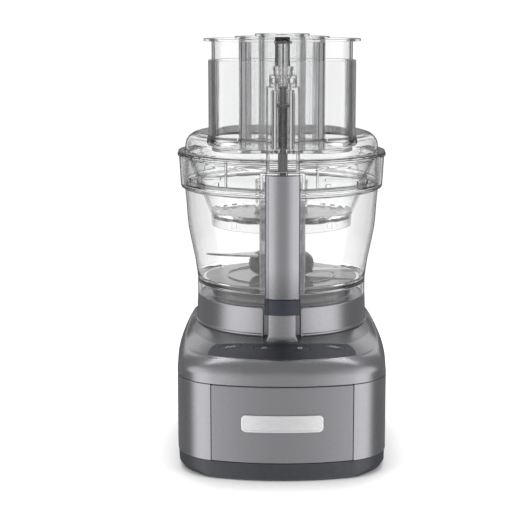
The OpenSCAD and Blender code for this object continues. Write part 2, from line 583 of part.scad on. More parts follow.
place() lower_housing();
place() front_panel();
place() name_plate();
place() base_tray();
place() rubber_feet();
place() tray_screws();
place() top_cover();
place() bowl_seat();
place() control_panel();
place() button_pad();
place() control_board();
place() motor_bracket();
place() bracket_screws();
place() motor_housing();
place() motor_bearings();
place() drive_belt();
place() lower_bearing();
place() upper_bearing();
place() interlock_switch();
place() cord_gland();
place() switch_plunger();
place() plunger_spring();
place() key(0);  // high_button
place() key(1);  // low_button
place() key(2);  // off_button
place() key(3);  // pulse_button
place() motor_rotor();
place() cooling_fan();
place() motor_pulley();
place() drive_shaft();
place() drive_pulley();
place() blade_hub();
place() blade_stem();
place() chopping_blades();
place() work_bowl();
place() bowl_handle();
place() handle_end_cap();
place() inner_bowl();
place() handle_rod();
place() handle_rod_spring();
place() lid();
place() feed_tube();
place() interlock_housing();
place() lid_rod();
place() lid_rod_spring();
place() large_pusher();
place() medium_pusher();
place() small_pusher();
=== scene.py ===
import bpy
import bmesh
import json
import math
import numpy as np
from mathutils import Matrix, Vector


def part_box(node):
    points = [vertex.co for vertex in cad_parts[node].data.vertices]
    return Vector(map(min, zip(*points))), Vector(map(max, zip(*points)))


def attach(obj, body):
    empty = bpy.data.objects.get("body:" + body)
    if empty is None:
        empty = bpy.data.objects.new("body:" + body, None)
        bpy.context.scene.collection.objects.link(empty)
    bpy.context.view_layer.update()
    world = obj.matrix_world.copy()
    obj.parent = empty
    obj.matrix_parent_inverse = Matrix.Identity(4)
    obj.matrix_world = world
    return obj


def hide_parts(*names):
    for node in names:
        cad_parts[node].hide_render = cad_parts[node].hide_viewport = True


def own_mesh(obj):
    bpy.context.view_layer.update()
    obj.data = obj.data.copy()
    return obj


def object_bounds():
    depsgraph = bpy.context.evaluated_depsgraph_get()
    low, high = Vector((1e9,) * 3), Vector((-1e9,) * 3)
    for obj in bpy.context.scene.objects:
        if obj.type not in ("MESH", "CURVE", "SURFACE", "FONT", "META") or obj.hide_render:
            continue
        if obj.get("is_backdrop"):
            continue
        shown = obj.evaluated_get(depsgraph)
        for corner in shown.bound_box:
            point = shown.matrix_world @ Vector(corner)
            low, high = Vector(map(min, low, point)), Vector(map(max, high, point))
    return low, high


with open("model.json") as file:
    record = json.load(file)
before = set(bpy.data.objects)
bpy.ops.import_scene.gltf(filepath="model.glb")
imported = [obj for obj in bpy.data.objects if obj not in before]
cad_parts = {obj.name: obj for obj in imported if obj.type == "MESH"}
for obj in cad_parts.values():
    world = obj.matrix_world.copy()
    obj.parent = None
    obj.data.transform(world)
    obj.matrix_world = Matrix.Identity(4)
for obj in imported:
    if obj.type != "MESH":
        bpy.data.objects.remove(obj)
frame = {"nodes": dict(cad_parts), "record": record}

CAD_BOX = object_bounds()
scene = bpy.context.scene
lo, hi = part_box("drive_shaft")
CX, CY = (lo[0] + hi[0]) / 2, (lo[1] + hi[1]) / 2   # bowl axis in the frame, metres
MM = 0.001
PI = math.pi


def cosd(a):
    return math.cos(math.radians(a))


def sind(a):
    return math.sin(math.radians(a))


# ---------------------------------------------------------------- materials
def new_mat(name):
    m = bpy.data.materials.new(name)
    m.use_nodes = True
    nt = m.node_tree
    nt.nodes.clear()
    out = nt.nodes.new("ShaderNodeOutputMaterial")
    p = nt.nodes.new("ShaderNodeBsdfPrincipled")
    nt.links.new(p.outputs[0], out.inputs["Surface"])
    return m, nt, p, out


def coords(nt, scale=(1, 1, 1)):
    tc = nt.nodes.new("ShaderNodeTexCoord")
    mp = nt.nodes.new("ShaderNodeMapping")
    mp.inputs["Scale"].default_value = scale
    nt.links.new(tc.outputs["Object"], mp.inputs["Vector"])
    return mp.outputs[0]


def noise(nt, vec, scale, detail=3.0, rough=0.55):
    n = nt.nodes.new("ShaderNodeTexNoise")
    n.inputs["Scale"].default_value = scale
    n.inputs["Detail"].default_value = detail
    n.inputs["Roughness"].default_value = rough
    nt.links.new(vec, n.inputs["Vector"])
    return n.outputs[0]


def ramp(nt, fac, stops, interp="LINEAR"):
    r = nt.nodes.new("ShaderNodeValToRGB")
    r.color_ramp.interpolation = interp
    el = r.color_ramp.elements
    while len(el) < len(stops):
        el.new(0.5)
    for e, (pos, c) in zip(el, stops):
        e.position = pos
        e.color = (c[0], c[1], c[2], 1) if not isinstance(c, (int, float)) else (c, c, c, 1)
    nt.links.new(fac, r.inputs[0])
    return r.outputs[0]


def span(nt, fac, a, b, lo_=0.0, hi_=1.0):
    n = nt.nodes.new("ShaderNodeMapRange")
    n.inputs["From Min"].default_value = lo_
    n.inputs["From Max"].default_value = hi_
    n.inputs["To Min"].default_value = a
    n.inputs["To Max"].default_value = b
    nt.links.new(fac, n.inputs["Value"])
    return n.outputs[0]


def bump(nt, p, height, dist, strength=1.0):
    b = nt.nodes.new("ShaderNodeBump")
    b.inputs["Strength"].default_value = strength
    b.inputs["Distance"].default_value = dist
    nt.links.new(height, b.inputs["Height"])
    nt.links.new(b.outputs[0], p.inputs["Normal"])
    return b


def shade(c, k):
    return tuple(min(1.0, x * k) for x in c)


def lacquer(name, base, rough=0.27, metal=0.9, shade_fade=None):
    """Metallic lacquer: fine flakes in colour and normal, slow variation in gloss, and an optional fade of painted
    shade towards the lower end.
    """
    m, nt, p, out = new_mat(name)
    v = coords(nt)
    vo = nt.nodes.new("ShaderNodeTexVoronoi")
    vo.inputs["Scale"].default_value = 2600
    nt.links.new(v, vo.inputs["Vector"])
    sep = nt.nodes.new("ShaderNodeSeparateColor")
    nt.links.new(vo.outputs["Color"], sep.inputs[0])
    c = ramp(nt, sep.outputs[0], [(0.0, shade(base, 0.93)), (0.6, base), (1.0, shade(base, 1.09))])
    if shade_fade:
        # painted shade: the colour gets darker towards the lower end: (height of the dark end, height where it starts,
        # darkest)
        xyz = nt.nodes.new("ShaderNodeSeparateXYZ")
        nt.links.new(v, xyz.inputs[0])
        mx = nt.nodes.new("ShaderNodeMix")
        mx.data_type = "RGBA"
        mx.blend_type = "MULTIPLY"
        mx.inputs["Factor"].default_value = 1.0
        nt.links.new(c, mx.inputs["A"])
        nt.links.new(span(nt, xyz.outputs[2], shade_fade[2], 1.0, shade_fade[0] * MM, shade_fade[1] * MM), mx.inputs["B"])
        c = mx.outputs["Result"]
    nt.links.new(c, p.inputs["Base Color"])
    nt.links.new(span(nt, noise(nt, v, 22, 2), rough - 0.03, rough + 0.03), p.inputs["Roughness"])
    bump(nt, p, noise(nt, v, 420, 2), 0.000006, 0.3)
    p.inputs["Metallic"].default_value = metal
    p.inputs["Coat Weight"].default_value = 0.12
    p.inputs["Coat Roughness"].default_value = 0.12
    return m


def plastic(name, base, rough=0.42, grain=900, depth=0.00002, spread=0.14, spec=0.5, coat=0.0):
    """Moulded plastic: fine grain in the normal, faint mottling, slow change of gloss."""
    m, nt, p, out = new_mat(name)
    v = coords(nt)
    nt.links.new(ramp(nt, noise(nt, v, 160, 4), [(0.3, shade(base, 1 - spread)), (0.7, shade(base, 1 + spread))]), p.inputs["Base Color"])
    nt.links.new(span(nt, noise(nt, v, 35, 3), rough - 0.05, rough + 0.05), p.inputs["Roughness"])
    bump(nt, p, noise(nt, v, grain, 4), depth, 0.6)
    p.inputs["Specular IOR Level"].default_value = spec
    p.inputs["Coat Weight"].default_value = coat
    return m


def metal(name, base, rough=0.25, stretch=(40, 900, 900), depth=0.000008, aniso=0.0):
    """Worked metal: fine drawn or ground lines along one direction."""
    m, nt, p, out = new_mat(name)
    v = coords(nt, stretch)
    lines = noise(nt, v, 1.0, 5, 0.7)
    nt.links.new(ramp(nt, lines, [(0.25, shade(base, 0.84)), (0.75, shade(base, 1.1))]), p.inputs["Base Color"])
    nt.links.new(span(nt, lines, rough - 0.07, rough + 0.08), p.inputs["Roughness"])
    bump(nt, p, lines, depth, 0.5)
    p.inputs["Metallic"].default_value = 1.0
    p.inputs["Anisotropic"].default_value = aniso
    return m


def clear(name, tint, edge, ior=1.47, wave=0.00002, wave_scale=55, shade_zones=()):
    """Clear moulded plastic: painted shade darkens the colour where a wall is seen edge-on, faint flow lines from
    moulding.
    """
    m, nt, p, out = new_mat(name)
    lw = nt.nodes.new("ShaderNodeLayerWeight")
    lw.inputs["Blend"].default_value = 0.5
    # painted shade: Layer Weight facing darkens the colour towards grazing views, for the dark refraction at wall
    # edges
    c = ramp(nt, lw.outputs["Facing"], [(0.0, tint), (0.72, shade(tint, 0.97)), (0.80, shade(tint, 0.64)), (0.835, shade(tint, 0.44)), (0.87, shade(tint, 0.12)), (0.92, shade(tint, edge * 0.2)), (1.0, shade(tint, edge * 0.05))])
    trans = None
    if shade_zones:
        # painted shade: grey bands with less transmission, for the dark refraction at thick corners, edges, rims and
        # polished floors: (z0, z1, r0, r1, grey, clearness, dashes);
        # with "x" in place of dashes the distance is measured sideways only
        sub = nt.nodes.new("ShaderNodeVectorMath")
        sub.operation = "SUBTRACT"
        nt.links.new(coords(nt), sub.inputs[0])
        sub.inputs[1].default_value = (CX, CY, 0)
        xyz = nt.nodes.new("ShaderNodeSeparateXYZ")
        nt.links.new(sub.outputs[0], xyz.inputs[0])

        def mth(op, a, b=None, c_=None):
            n = nt.nodes.new("ShaderNodeMath")
            n.operation = op
            for i, q in enumerate((a, b, c_)):
                if q is None:
                    continue
                if isinstance(q, (int, float)):
                    n.inputs[i].default_value = q
                else:
                    nt.links.new(q, n.inputs[i])
            return n.outputs[0]
        x2, y2 = mth("MULTIPLY", xyz.outputs[0], xyz.outputs[0]), mth("MULTIPLY", xyz.outputs[1], xyz.outputs[1])
        rad = mth("SQRT", mth("ADD", x2, y2))
        wide = mth("ABSOLUTE", xyz.outputs[0])
        ang = mth("ARCTAN2", xyz.outputs[1], xyz.outputs[0])
        for z0, z1, r0, r1, grey, clearness, dashes in shade_zones:
            f = mth("MULTIPLY", mth("COMPARE", xyz.outputs[2], (z0 + z1) / 2 * MM, (z1 - z0) / 2 * MM), mth("COMPARE", wide if dashes == "x" else rad, (r0 + r1) / 2 * MM, (r1 - r0) / 2 * MM))
            if dashes and dashes != "x":
                f = mth("MULTIPLY", f, mth("GREATER_THAN", mth("SINE", mth("MULTIPLY", ang, float(dashes))), -0.1))
            mx = nt.nodes.new("ShaderNodeMix")
            mx.data_type = "RGBA"
            nt.links.new(f, mx.inputs["Factor"])
            nt.links.new(c, mx.inputs["A"])
            mx.inputs["B"].default_value = (grey, grey, grey * 1.02, 1)
            c = mx.outputs["Result"]
            part = mth("SUBTRACT", 1.0, mth("MULTIPLY", f, 1.0 - clearness))
            trans = part if trans is None else mth("MINIMUM", trans, part)
    nt.links.new(c, p.inputs["Base Color"])
    bump(nt, p, noise(nt, coords(nt), wave_scale, 2), wave, 0.25)
    p.inputs["Transmission Weight"].default_value = 1.0
    if trans is not None:
        nt.links.new(trans, p.inputs["Transmission Weight"])
    p.inputs["Roughness"].default_value = 0.0
    p.inputs["IOR"].default_value = ior
    return m


GUN = (0.235, 0.234, 0.246)
MAT = {
    "housing": lacquer("gunmetal_lacquer", GUN),
    "front_panel": lacquer("gunmetal_lacquer_panel", (0.215, 0.214, 0.226), 0.5),
    # painted shade: the handle's lacquer is darkened towards its lower end, from z 199 mm down to z 171 mm
    "handle": lacquer("gunmetal_lacquer_handle", (0.244, 0.243, 0.256), 0.24, shade_fade=(171, 199, 0.6)),
    "name_plate": metal("satin_silver", (0.70, 0.70, 0.71), 0.34, (60, 1200, 1200)),
    "tray": plastic("slate_moulding", (0.020, 0.022, 0.028), 0.45, 1100, 0.00003),
    "control_panel": plastic("slate_panel", (0.016, 0.0175, 0.023), 0.36, 1500, 0.00001, 0.08),
    "handle_end": plastic("slate_end_cap", (0.017, 0.021, 0.029), 0.42, 1200, 0.00002, 0.14, 0.3),
    "mark": plastic("pale_print", (0.30, 0.31, 0.33), 0.5, 1500, 0.00001, 0.05),
    "blade_hub": plastic("hub_moulding", (0.008, 0.008, 0.010), 0.34, 700, 0.00002, 0.1, 0.2),
    "lid_rod": plastic("rod_moulding", (0.05, 0.05, 0.053), 0.35, 800, 0.00002, 0.1),
    "white_plastic": plastic("white_moulding", (0.72, 0.72, 0.71), 0.4, 900, 0.00002, 0.05),
    "black_plastic": plastic("black_moulding", (0.022, 0.022, 0.023), 0.45, 900, 0.00003),
    "rubber": plastic("rubber", (0.018, 0.018, 0.018), 0.7, 1400, 0.00004, 0.2, 0.3),
    "circuit_board": plastic("solder_mask", (0.02, 0.16, 0.06), 0.35, 2000, 0.00001, 0.25),
    "blade_steel": metal("ground_steel", (0.36, 0.36, 0.37), 0.22, (900, 60, 900)),
    "shaft_steel": metal("turned_steel", (0.58, 0.58, 0.59), 0.25, (60, 60, 2500)),
    "bearing_steel": metal("bearing_steel", (0.6, 0.6, 0.61), 0.18, (90, 90, 1800)),
    "motor_steel": metal("rolled_steel", (0.5, 0.5, 0.51), 0.38, (300, 300, 60)),
    "motor_core": metal("laminations", (0.45, 0.3, 0.2), 0.4, (50, 50, 2600)),
    "cast_bracket": metal("cast_alloy", (0.52, 0.52, 0.53), 0.5, (260, 260, 260), 0.00004),
    "screw_steel": metal("zinc_plate", (0.6, 0.6, 0.58), 0.3, (500, 500, 500)),
    "spring_steel": metal("drawn_wire", (0.5, 0.5, 0.51), 0.28, (900, 900, 900)),
    "dark_wire": metal("blued_wire", (0.10, 0.10, 0.105), 0.35, (900, 900, 900)),
    # painted shade bands on the bowl: dark floor, dark rim tip and step line, and a grey sheet over the clear handle
    # arm
    "clear_bowl": clear("clear_bowl", (0.995, 0.996, 0.997), 0.12,
                        shade_zones=((165.0, 168.1, 14, 75.5, 0.03, 0.12, 0), (289.0, 290.0, 101.0, 104, 0.02, 0.3, 0), (257.6, 258.9, 95.4, 99.2, 0.02, 0.25, 0),
                               (174.0, 258.0, 106, 120, 0.5, 0.8, 0))),
    # painted shade bands on the inner bowl: dark floor and a dashed dark ring at its lower edge
    "clear_inner": clear("clear_inner_bowl", (0.995, 0.996, 0.997), 0.12, shade_zones=((229.0, 231.8, 26.5, 62, 0.035, 0.12, 0), (230.2, 232.4, 68.2, 72, 0.02, 0.15, 30))),
    # painted shade bands on the lid: dark lines at the rim, skirt and dome edge, and dark and grey bands where the
    # feed tube walls are seen edge-on
    "clear_lid": clear("clear_lid", (0.995, 0.996, 0.997), 0.12, shade_zones=((293.0, 294.1, 99.6, 104, 0.02, 0.3, 0), (265.9, 266.8, 93, 97, 0.08, 0.5, 0), (309.5, 312.0, 86.5, 88.6, 0.1, 0.5, 0), (313.0, 383.6, 67.2, 69.4, 0.3, 0.6, "x"), (313.0, 383.6, 65.4, 67.2, 0.6, 0.9, "x"), (313.0, 383.6, 64.7, 65.4, 0.1, 0.5, "x"), (305.0, 383.6, 69.4, 70.4, 0.02, 0.15, "x"))),
    # painted shade bands on the pushers: dark and grey lines where their walls are seen edge-on; the last band, grey
    # 1.0, sets the colour to white there
    "clear_pusher": clear("clear_pusher", (0.996, 0.997, 0.998), 0.12, shade_zones=((303.0, 400.0, 66.2, 66.9, 0.1, 0.4, "x"), (303.0, 400.0, 37.6, 38.4, 0.03, 0.2, "x"), (303.0, 400.0, 34.2, 37.6, 0.7, 0.92, "x"), (303.0, 400.0, 33.4, 34.2, 0.1, 0.5, "x"),
                                                                                (400.6, 403.6, 0.0, 8.3, 1.0, 1.0, "x"))),
    "frosted_stem": clear("clear_stem", (0.95, 0.955, 0.96), 0.2),
}
CLEAR = ("clear_bowl", "clear_lid", "clear_pusher", "frosted_stem")


# ---------------------------------------------------------------- outlines, millimetres from the bowl axis
def arc(c, r, a, b, n):
    return [(c[0] + r * cosd(a + (b - a) * i / n), c[1] + r * sind(a + (b - a) * i / n)) for i in range(n)]


def cross2(p, r, q, s, sg):
    p, q = np.array(p, float), np.array(q, float)
    d = np.linalg.norm(q - p)
    a = (r * r - s * s + d * d) / (2 * d)
    h = math.sqrt(r * r - a * a)
    u = (q - p) / d
    return p + a * u + sg * h * np.array([-u[1], u[0]])


def way(p, q):
    return math.degrees(math.atan2(q[1] - p[1], q[0] - p[0]))


def oval(a, f, b, rf, rc, rs, rb, rk, d, m=14):
    cf, cs, cb = (0, rf - f), (a - rs, -12), (0, b - rb)
    k1, k2 = cross2(cf, rf - rc, cs, rs - rc, 1), cross2(cs, rs - rk, cb, rb - rk, 1)
    t1, t2, t3, t4 = way(cf, k1), way(cs, k1), way(cs, k2), way(cb, k2)
    right = (arc(cf, rf - d, -90, t1, 7 * m) + arc(k1, rc - d, t1, t2, 9 * m) + arc(cs, rs - d, t2, t3, 5 * m)
             + arc(k2, rk - d, t3, t4, 9 * m) + arc(cb, rb - d, t4, 90, 7 * m) + [(0, b - d)])
    return np.array(right + [(-x, y) for x, y in right[-2:0:-1]])


def plan(d=0.0):
    return oval(102.2, 142, 118, 215, 48, 900, 330, 42, d)


RIDGE = [(0, -134.6, 113.6), (17.4, -132.6, 113.6), (32, -129.8, 113.5), (45.1, -125.8, 113.3), (55, -121.6, 113.1), (63.8, -116.4, 112.9), (72, -109.0, 112.6),
         (78.6, -100.8, 112.3), (84.4, -89, 112.1), (89, -73.4, 112), (92.3, -57, 112), (94.0, -40.3, 112), (94.8, -20, 112.2), (94.8, -3.7, 112.7), (94.2, 20, 113.6), (93.4, 42, 114.9),
         (91.9, 63.5, 116.5), (88.7, 84.3, 118.4), (80, 98, 119.2), (66, 106, 119.6), (45, 109.5, 119.8), (22, 111, 120), (0, 111.4, 120)]


def ridge3(d=0.0):
    """The ridge around the deck as a smooth closed curve with its height, moved inwards by d."""
    q = np.array(RIDGE + [(-x, y, z) for x, y, z in RIDGE[-2:0:-1]])
    n = len(q)
    out = []
    for i in range(n):
        p0, p1, p2, p3 = q[i - 1], q[i], q[(i + 1) % n], q[(i + 2) % n]
        for t in np.linspace(0, 1, 8, endpoint=False):
            out.append(0.5 * (2 * p1 + (p2 - p0) * t + (2 * p0 - 5 * p1 + 4 * p2 - p3) * t * t + (3 * p1 - p0 - 3 * p2 + p3) * t ** 3))
    out = np.array(out)
    if d:
        t = np.roll(out, -1, 0) - np.roll(out, 1, 0)
        m = np.column_stack([t[:, 1], -t[:, 0]])
        out[:, :2] -= d * m / np.linalg.norm(m, axis=1)[:, None]
    return out


def ridge(d=0.0):
    return ridge3(d)[:, :2]


def polar(pts, th):
    """Distance from the axis to an outline, in each direction th (degrees)."""
    a = np.degrees(np.arctan2(pts[:, 1], pts[:, 0])) % 360
    r = np.hypot(pts[:, 0], pts[:, 1])
    k = np.argsort(a)
    a, r = a[k], r[k]
    return np.interp(th % 360, np.concatenate([a - 360, a, a + 360]), np.concatenate([r, r, r]))


def spread(pts, n):
    """n directions, evenly spaced along an outline."""
    q = np.vstack([pts, pts[:1]])
    s = np.concatenate([[0], np.cumsum(np.hypot(*(np.diff(q, axis=0).T)))])
    t = np.linspace(0, s[-1], n, endpoint=False)
    x, y = np.interp(t, s, q[:, 0]), np.interp(t, s, q[:, 1])
    return np.sort(np.degrees(np.arctan2(y, x)) % 360)


def track(w, h, n=26):
    def f(d=0.0):
        r = h / 2
        return np.array(arc((w / 2 - r, 0), r - d, -90, 90, n) + [(w / 2 - r, r - d)]
                        + arc((-w / 2 + r, 0), r - d, 90, 270, n) + [(-w / 2 + r, -r + d)])
    return f


def rect(x0, x1, y0, y1, r, n=6):
    def f(d=0.0):
        q = max(r - d, 0.02)
        a, b, c, e = x0 + d, x1 - d, y0 + d, y1 - d
        return np.array(arc((b - q, c + q), q, -90, 0, n) + [(b, c + q)] + arc((b - q, e - q), q, 0, 90, n) + [(b - q, e)]
                        + arc((a + q, e - q), q, 90, 180, n) + [(a, e - q)] + arc((a + q, c + q), q, 180, 270, n) + [(a + q, c)])
    return f


def disc(x, y, r, n=64):
    def f(d=0.0):
        return np.array(arc((x, y), r - d, 0, 360, n))
    return f


def moved(f, x, y):
    return lambda d=0.0: f(d) + np.array([x, y])


def rounded(pts, k=4, closed=True):
    """A polyline whose corners with a radius (third number) are rounded off."""
    out, n = [], len(pts)
    for i, p in enumerate(pts):
        r = p[2] if len(p) > 2 else 0
        if r <= 0 or (not closed and i in (0, n - 1)):
            out.append((p[0], p[1]))
            continue
        v = np.array(p[:2], float)
        a, b = np.array(pts[i - 1][:2], float) - v, np.array(pts[(i + 1) % n][:2], float) - v
        la, lb = np.linalg.norm(a), np.linalg.norm(b)
        a, b = a / la, b / lb
        half = math.acos(max(-1, min(1, float(a @ b)))) / 2
        t = min(r / max(math.tan(half), 1e-3), 0.49 * la, 0.49 * lb)
        p0, p1 = v + a * t, v + b * t
        for j in range(k + 1):
            s = j / k
            out.append(tuple((1 - s) ** 2 * p0 + 2 * s * (1 - s) * v * 1.0 + s * s * p1))
    return out


# ---------------------------------------------------------------- meshes, millimetres from the bowl axis
def mesh(verts, faces, merge=1e-4):
    me = bpy.data.meshes.new("m")
    me.from_pydata([tuple(float(c) for c in v) for v in verts], [], faces)
    ob = bpy.data.objects.new("m", me)
    scene.collection.objects.link(ob)
    bm = bmesh.new()
    bm.from_mesh(me)
    bmesh.ops.remove_doubles(bm, verts=bm.verts, dist=merge)
    bmesh.ops.recalc_face_normals(bm, faces=bm.faces)
    bm.to_mesh(me)
    bm.free()
    return ob


def grid(P, wu=True, wv=True, caps=False):
    """Surface through rows of points P[u][v]; caps close the first and last row."""
    P = np.asarray(P, float)
    nu, nv = P.shape[:2]
    ix = lambda i, j: (i % nu) * nv + (j % nv)
    fs = [(ix(i, j), ix(i + 1, j), ix(i + 1, j + 1), ix(i, j + 1))
          for i in range(nu if wu else nu - 1) for j in range(nv if wv else nv - 1)]
    if caps:
        fs += [tuple(ix(0, j) for j in range(nv)), tuple(ix(nu - 1, j) for j in reversed(range(nv)))]
    return mesh(P.reshape(-1, 3), fs)


def revolve(profile, n=192, x=0.0, y=0.0):
    """Solid of revolution about a vertical axis. The profile is a closed loop, or runs from the axis to the axis."""
    verts, rings, fs = [], [], []
    a = np.arange(n) * 2 * PI / n
    for r, z in profile:
        if r < 1e-6:
            verts.append((x, y, z))
            rings.append([len(verts) - 1] * n)
        else:
            b = len(verts)
            verts += [(x + r * math.cos(t), y + r * math.sin(t), z) for t in a]
            rings.append(list(range(b, b + n)))
    m = len(profile)
    for j in range(m):
        p, q = rings[j], rings[(j + 1) % m]
        if p[0] == p[1] and q[0] == q[1]:
            continue
        for i in range(n):
            f = []
            for v in (p[i], p[(i + 1) % n], q[(i + 1) % n], q[i]):
                if v not in f:
                    f.append(v)
            if len(f) > 2:
                fs.append(tuple(f))
    return mesh(verts, fs)


def prism(fn, z0, z1, b=0.5, k=3, bt=None):
    """Upright solid over an outline, with rounded edges of radius b below and bt above."""
    bt = b if bt is None else bt
    rows = []
    for bb, z, s in ((b, z0, 1), (bt, z1, -1)):
        seq = []
        if bb > 0:
            seq.append((bb * 1.6, z))
            for i in range(k + 1):
                t = i / k * PI / 2
                seq.append((bb * (1 - math.sin(t)), z + s * bb * (1 - math.cos(t))))
        else:
            seq.append((0.0, z))
        rows += seq if s > 0 else seq[::-1]
    P = []
    for d, z in rows:
        o = fn(d)
        P.append(np.column_stack([o, np.full(len(o), z)]))
    return grid(P, wu=False, caps=True)


def boolean(a, b, op="DIFFERENCE"):
    m = a.modifiers.new("b", "BOOLEAN")
    m.object, m.operation, m.solver = b, op, "EXACT"
    bpy.context.view_layer.update()
    dg = bpy.context.evaluated_depsgraph_get()
    me = bpy.data.meshes.new_from_object(a.evaluated_get(dg))
    a.modifiers.clear()
    a.data = me
    bpy.data.objects.remove(b, do_unlink=True)
    return a


def cut(a, *bs):
    for b in bs:
        boolean(a, b)
    return a


def add(a, *bs):
    for b in bs:
        boolean(a, b, "UNION")
    return a


def keep(a, b):
    return boolean(a, b, "INTERSECT")


def together(obs):
    """Several meshes that don't touch, as one object."""
    a = obs[0]
    bm = bmesh.new()
    for o in obs:
        bm.from_mesh(o.data)
    bm.to_mesh(a.data)
    bm.free()
    for o in obs[1:]:
        bpy.data.objects.remove(o, do_unlink=True)
    return a


def turned(o, deg, x=0.0, y=0.0):
    c, s = cosd(deg), sind(deg)
    for v in o.data.vertices:
        px, py = v.co.x - x, v.co.y - y
        v.co.x, v.co.y = x + c * px - s * py, y + s * px + c * py
    return o


def shape(o, f):
    for v in o.data.vertices:
        v.co = f(v.co)
    return o


def sweep(path, r, n=8, closed=False):
    """Round bar along a path."""
    path = np.asarray(path, float)
    tan = np.gradient(path, axis=0)
    tan /= np.linalg.norm(tan, axis=1)[:, None]
    ref = np.array([0, 0, 1.0])
    P = []
    for p, t in zip(path, tan):
        u = np.cross(ref, t)
        u = u / np.linalg.norm(u) if np.linalg.norm(u) > 1e-6 else np.array([1.0, 0, 0])
        w = np.cross(t, u)
        P.append([p + r * (math.cos(2 * PI * i / n) * u + math.sin(2 * PI * i / n) * w) for i in range(n)])
    return grid(P, wu=closed, caps=not closed)


PIECES = []


def piece(o, name, slot, body, *nodes, sharp=34, weighted=True, mat=None):
    me = o.data
    for v in me.vertices:
        v.co = (v.co.x * MM + CX, v.co.y * MM + CY, v.co.z * MM)
    o.name = name
    me.name = name
    me.materials.clear()
    me.materials.append(mat or MAT[slot])
    for p in me.polygons:
        p.material_index = 0
    me.shade_smooth()
    me.set_sharp_from_angle(angle=math.radians(sharp))
    if weighted:
        w = o.modifiers.new("normals", "WEIGHTED_NORMAL")
        w.keep_sharp = True
        w.weight = 60
    if slot in CLEAR:
        o.visible_shadow = False
    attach(o, body)
    if nodes:
        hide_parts(*nodes)
    PIECES.append(o)
    return o


# ---------------------------------------------------------------- base
SEAM = 90.2
TH = spread(plan(), 360)
COS, SIN = np.cos(np.radians(TH)), np.sin(np.radians(TH))


def ring_of(profiles, th=None):
    """Loft of one half-plane profile per direction."""
    th = TH if th is None else th
    c, s = np.cos(np.radians(th)), np.sin(np.radians(th))
    P = [[(r * c[i], r * s[i], z) for r, z in profiles[i]] for i in range(len(th))]
    return grid(P)


def front_of(d=0.0):
    """Where the loose front panel sits: the directions at x = +-66.4 on the front."""
    x = 66.4
    y = 73 - math.sqrt((215 - d) ** 2 - x * x)
    return math.degrees(math.atan2(y, x)) % 360, math.degrees(math.atan2(y, -x)) % 360


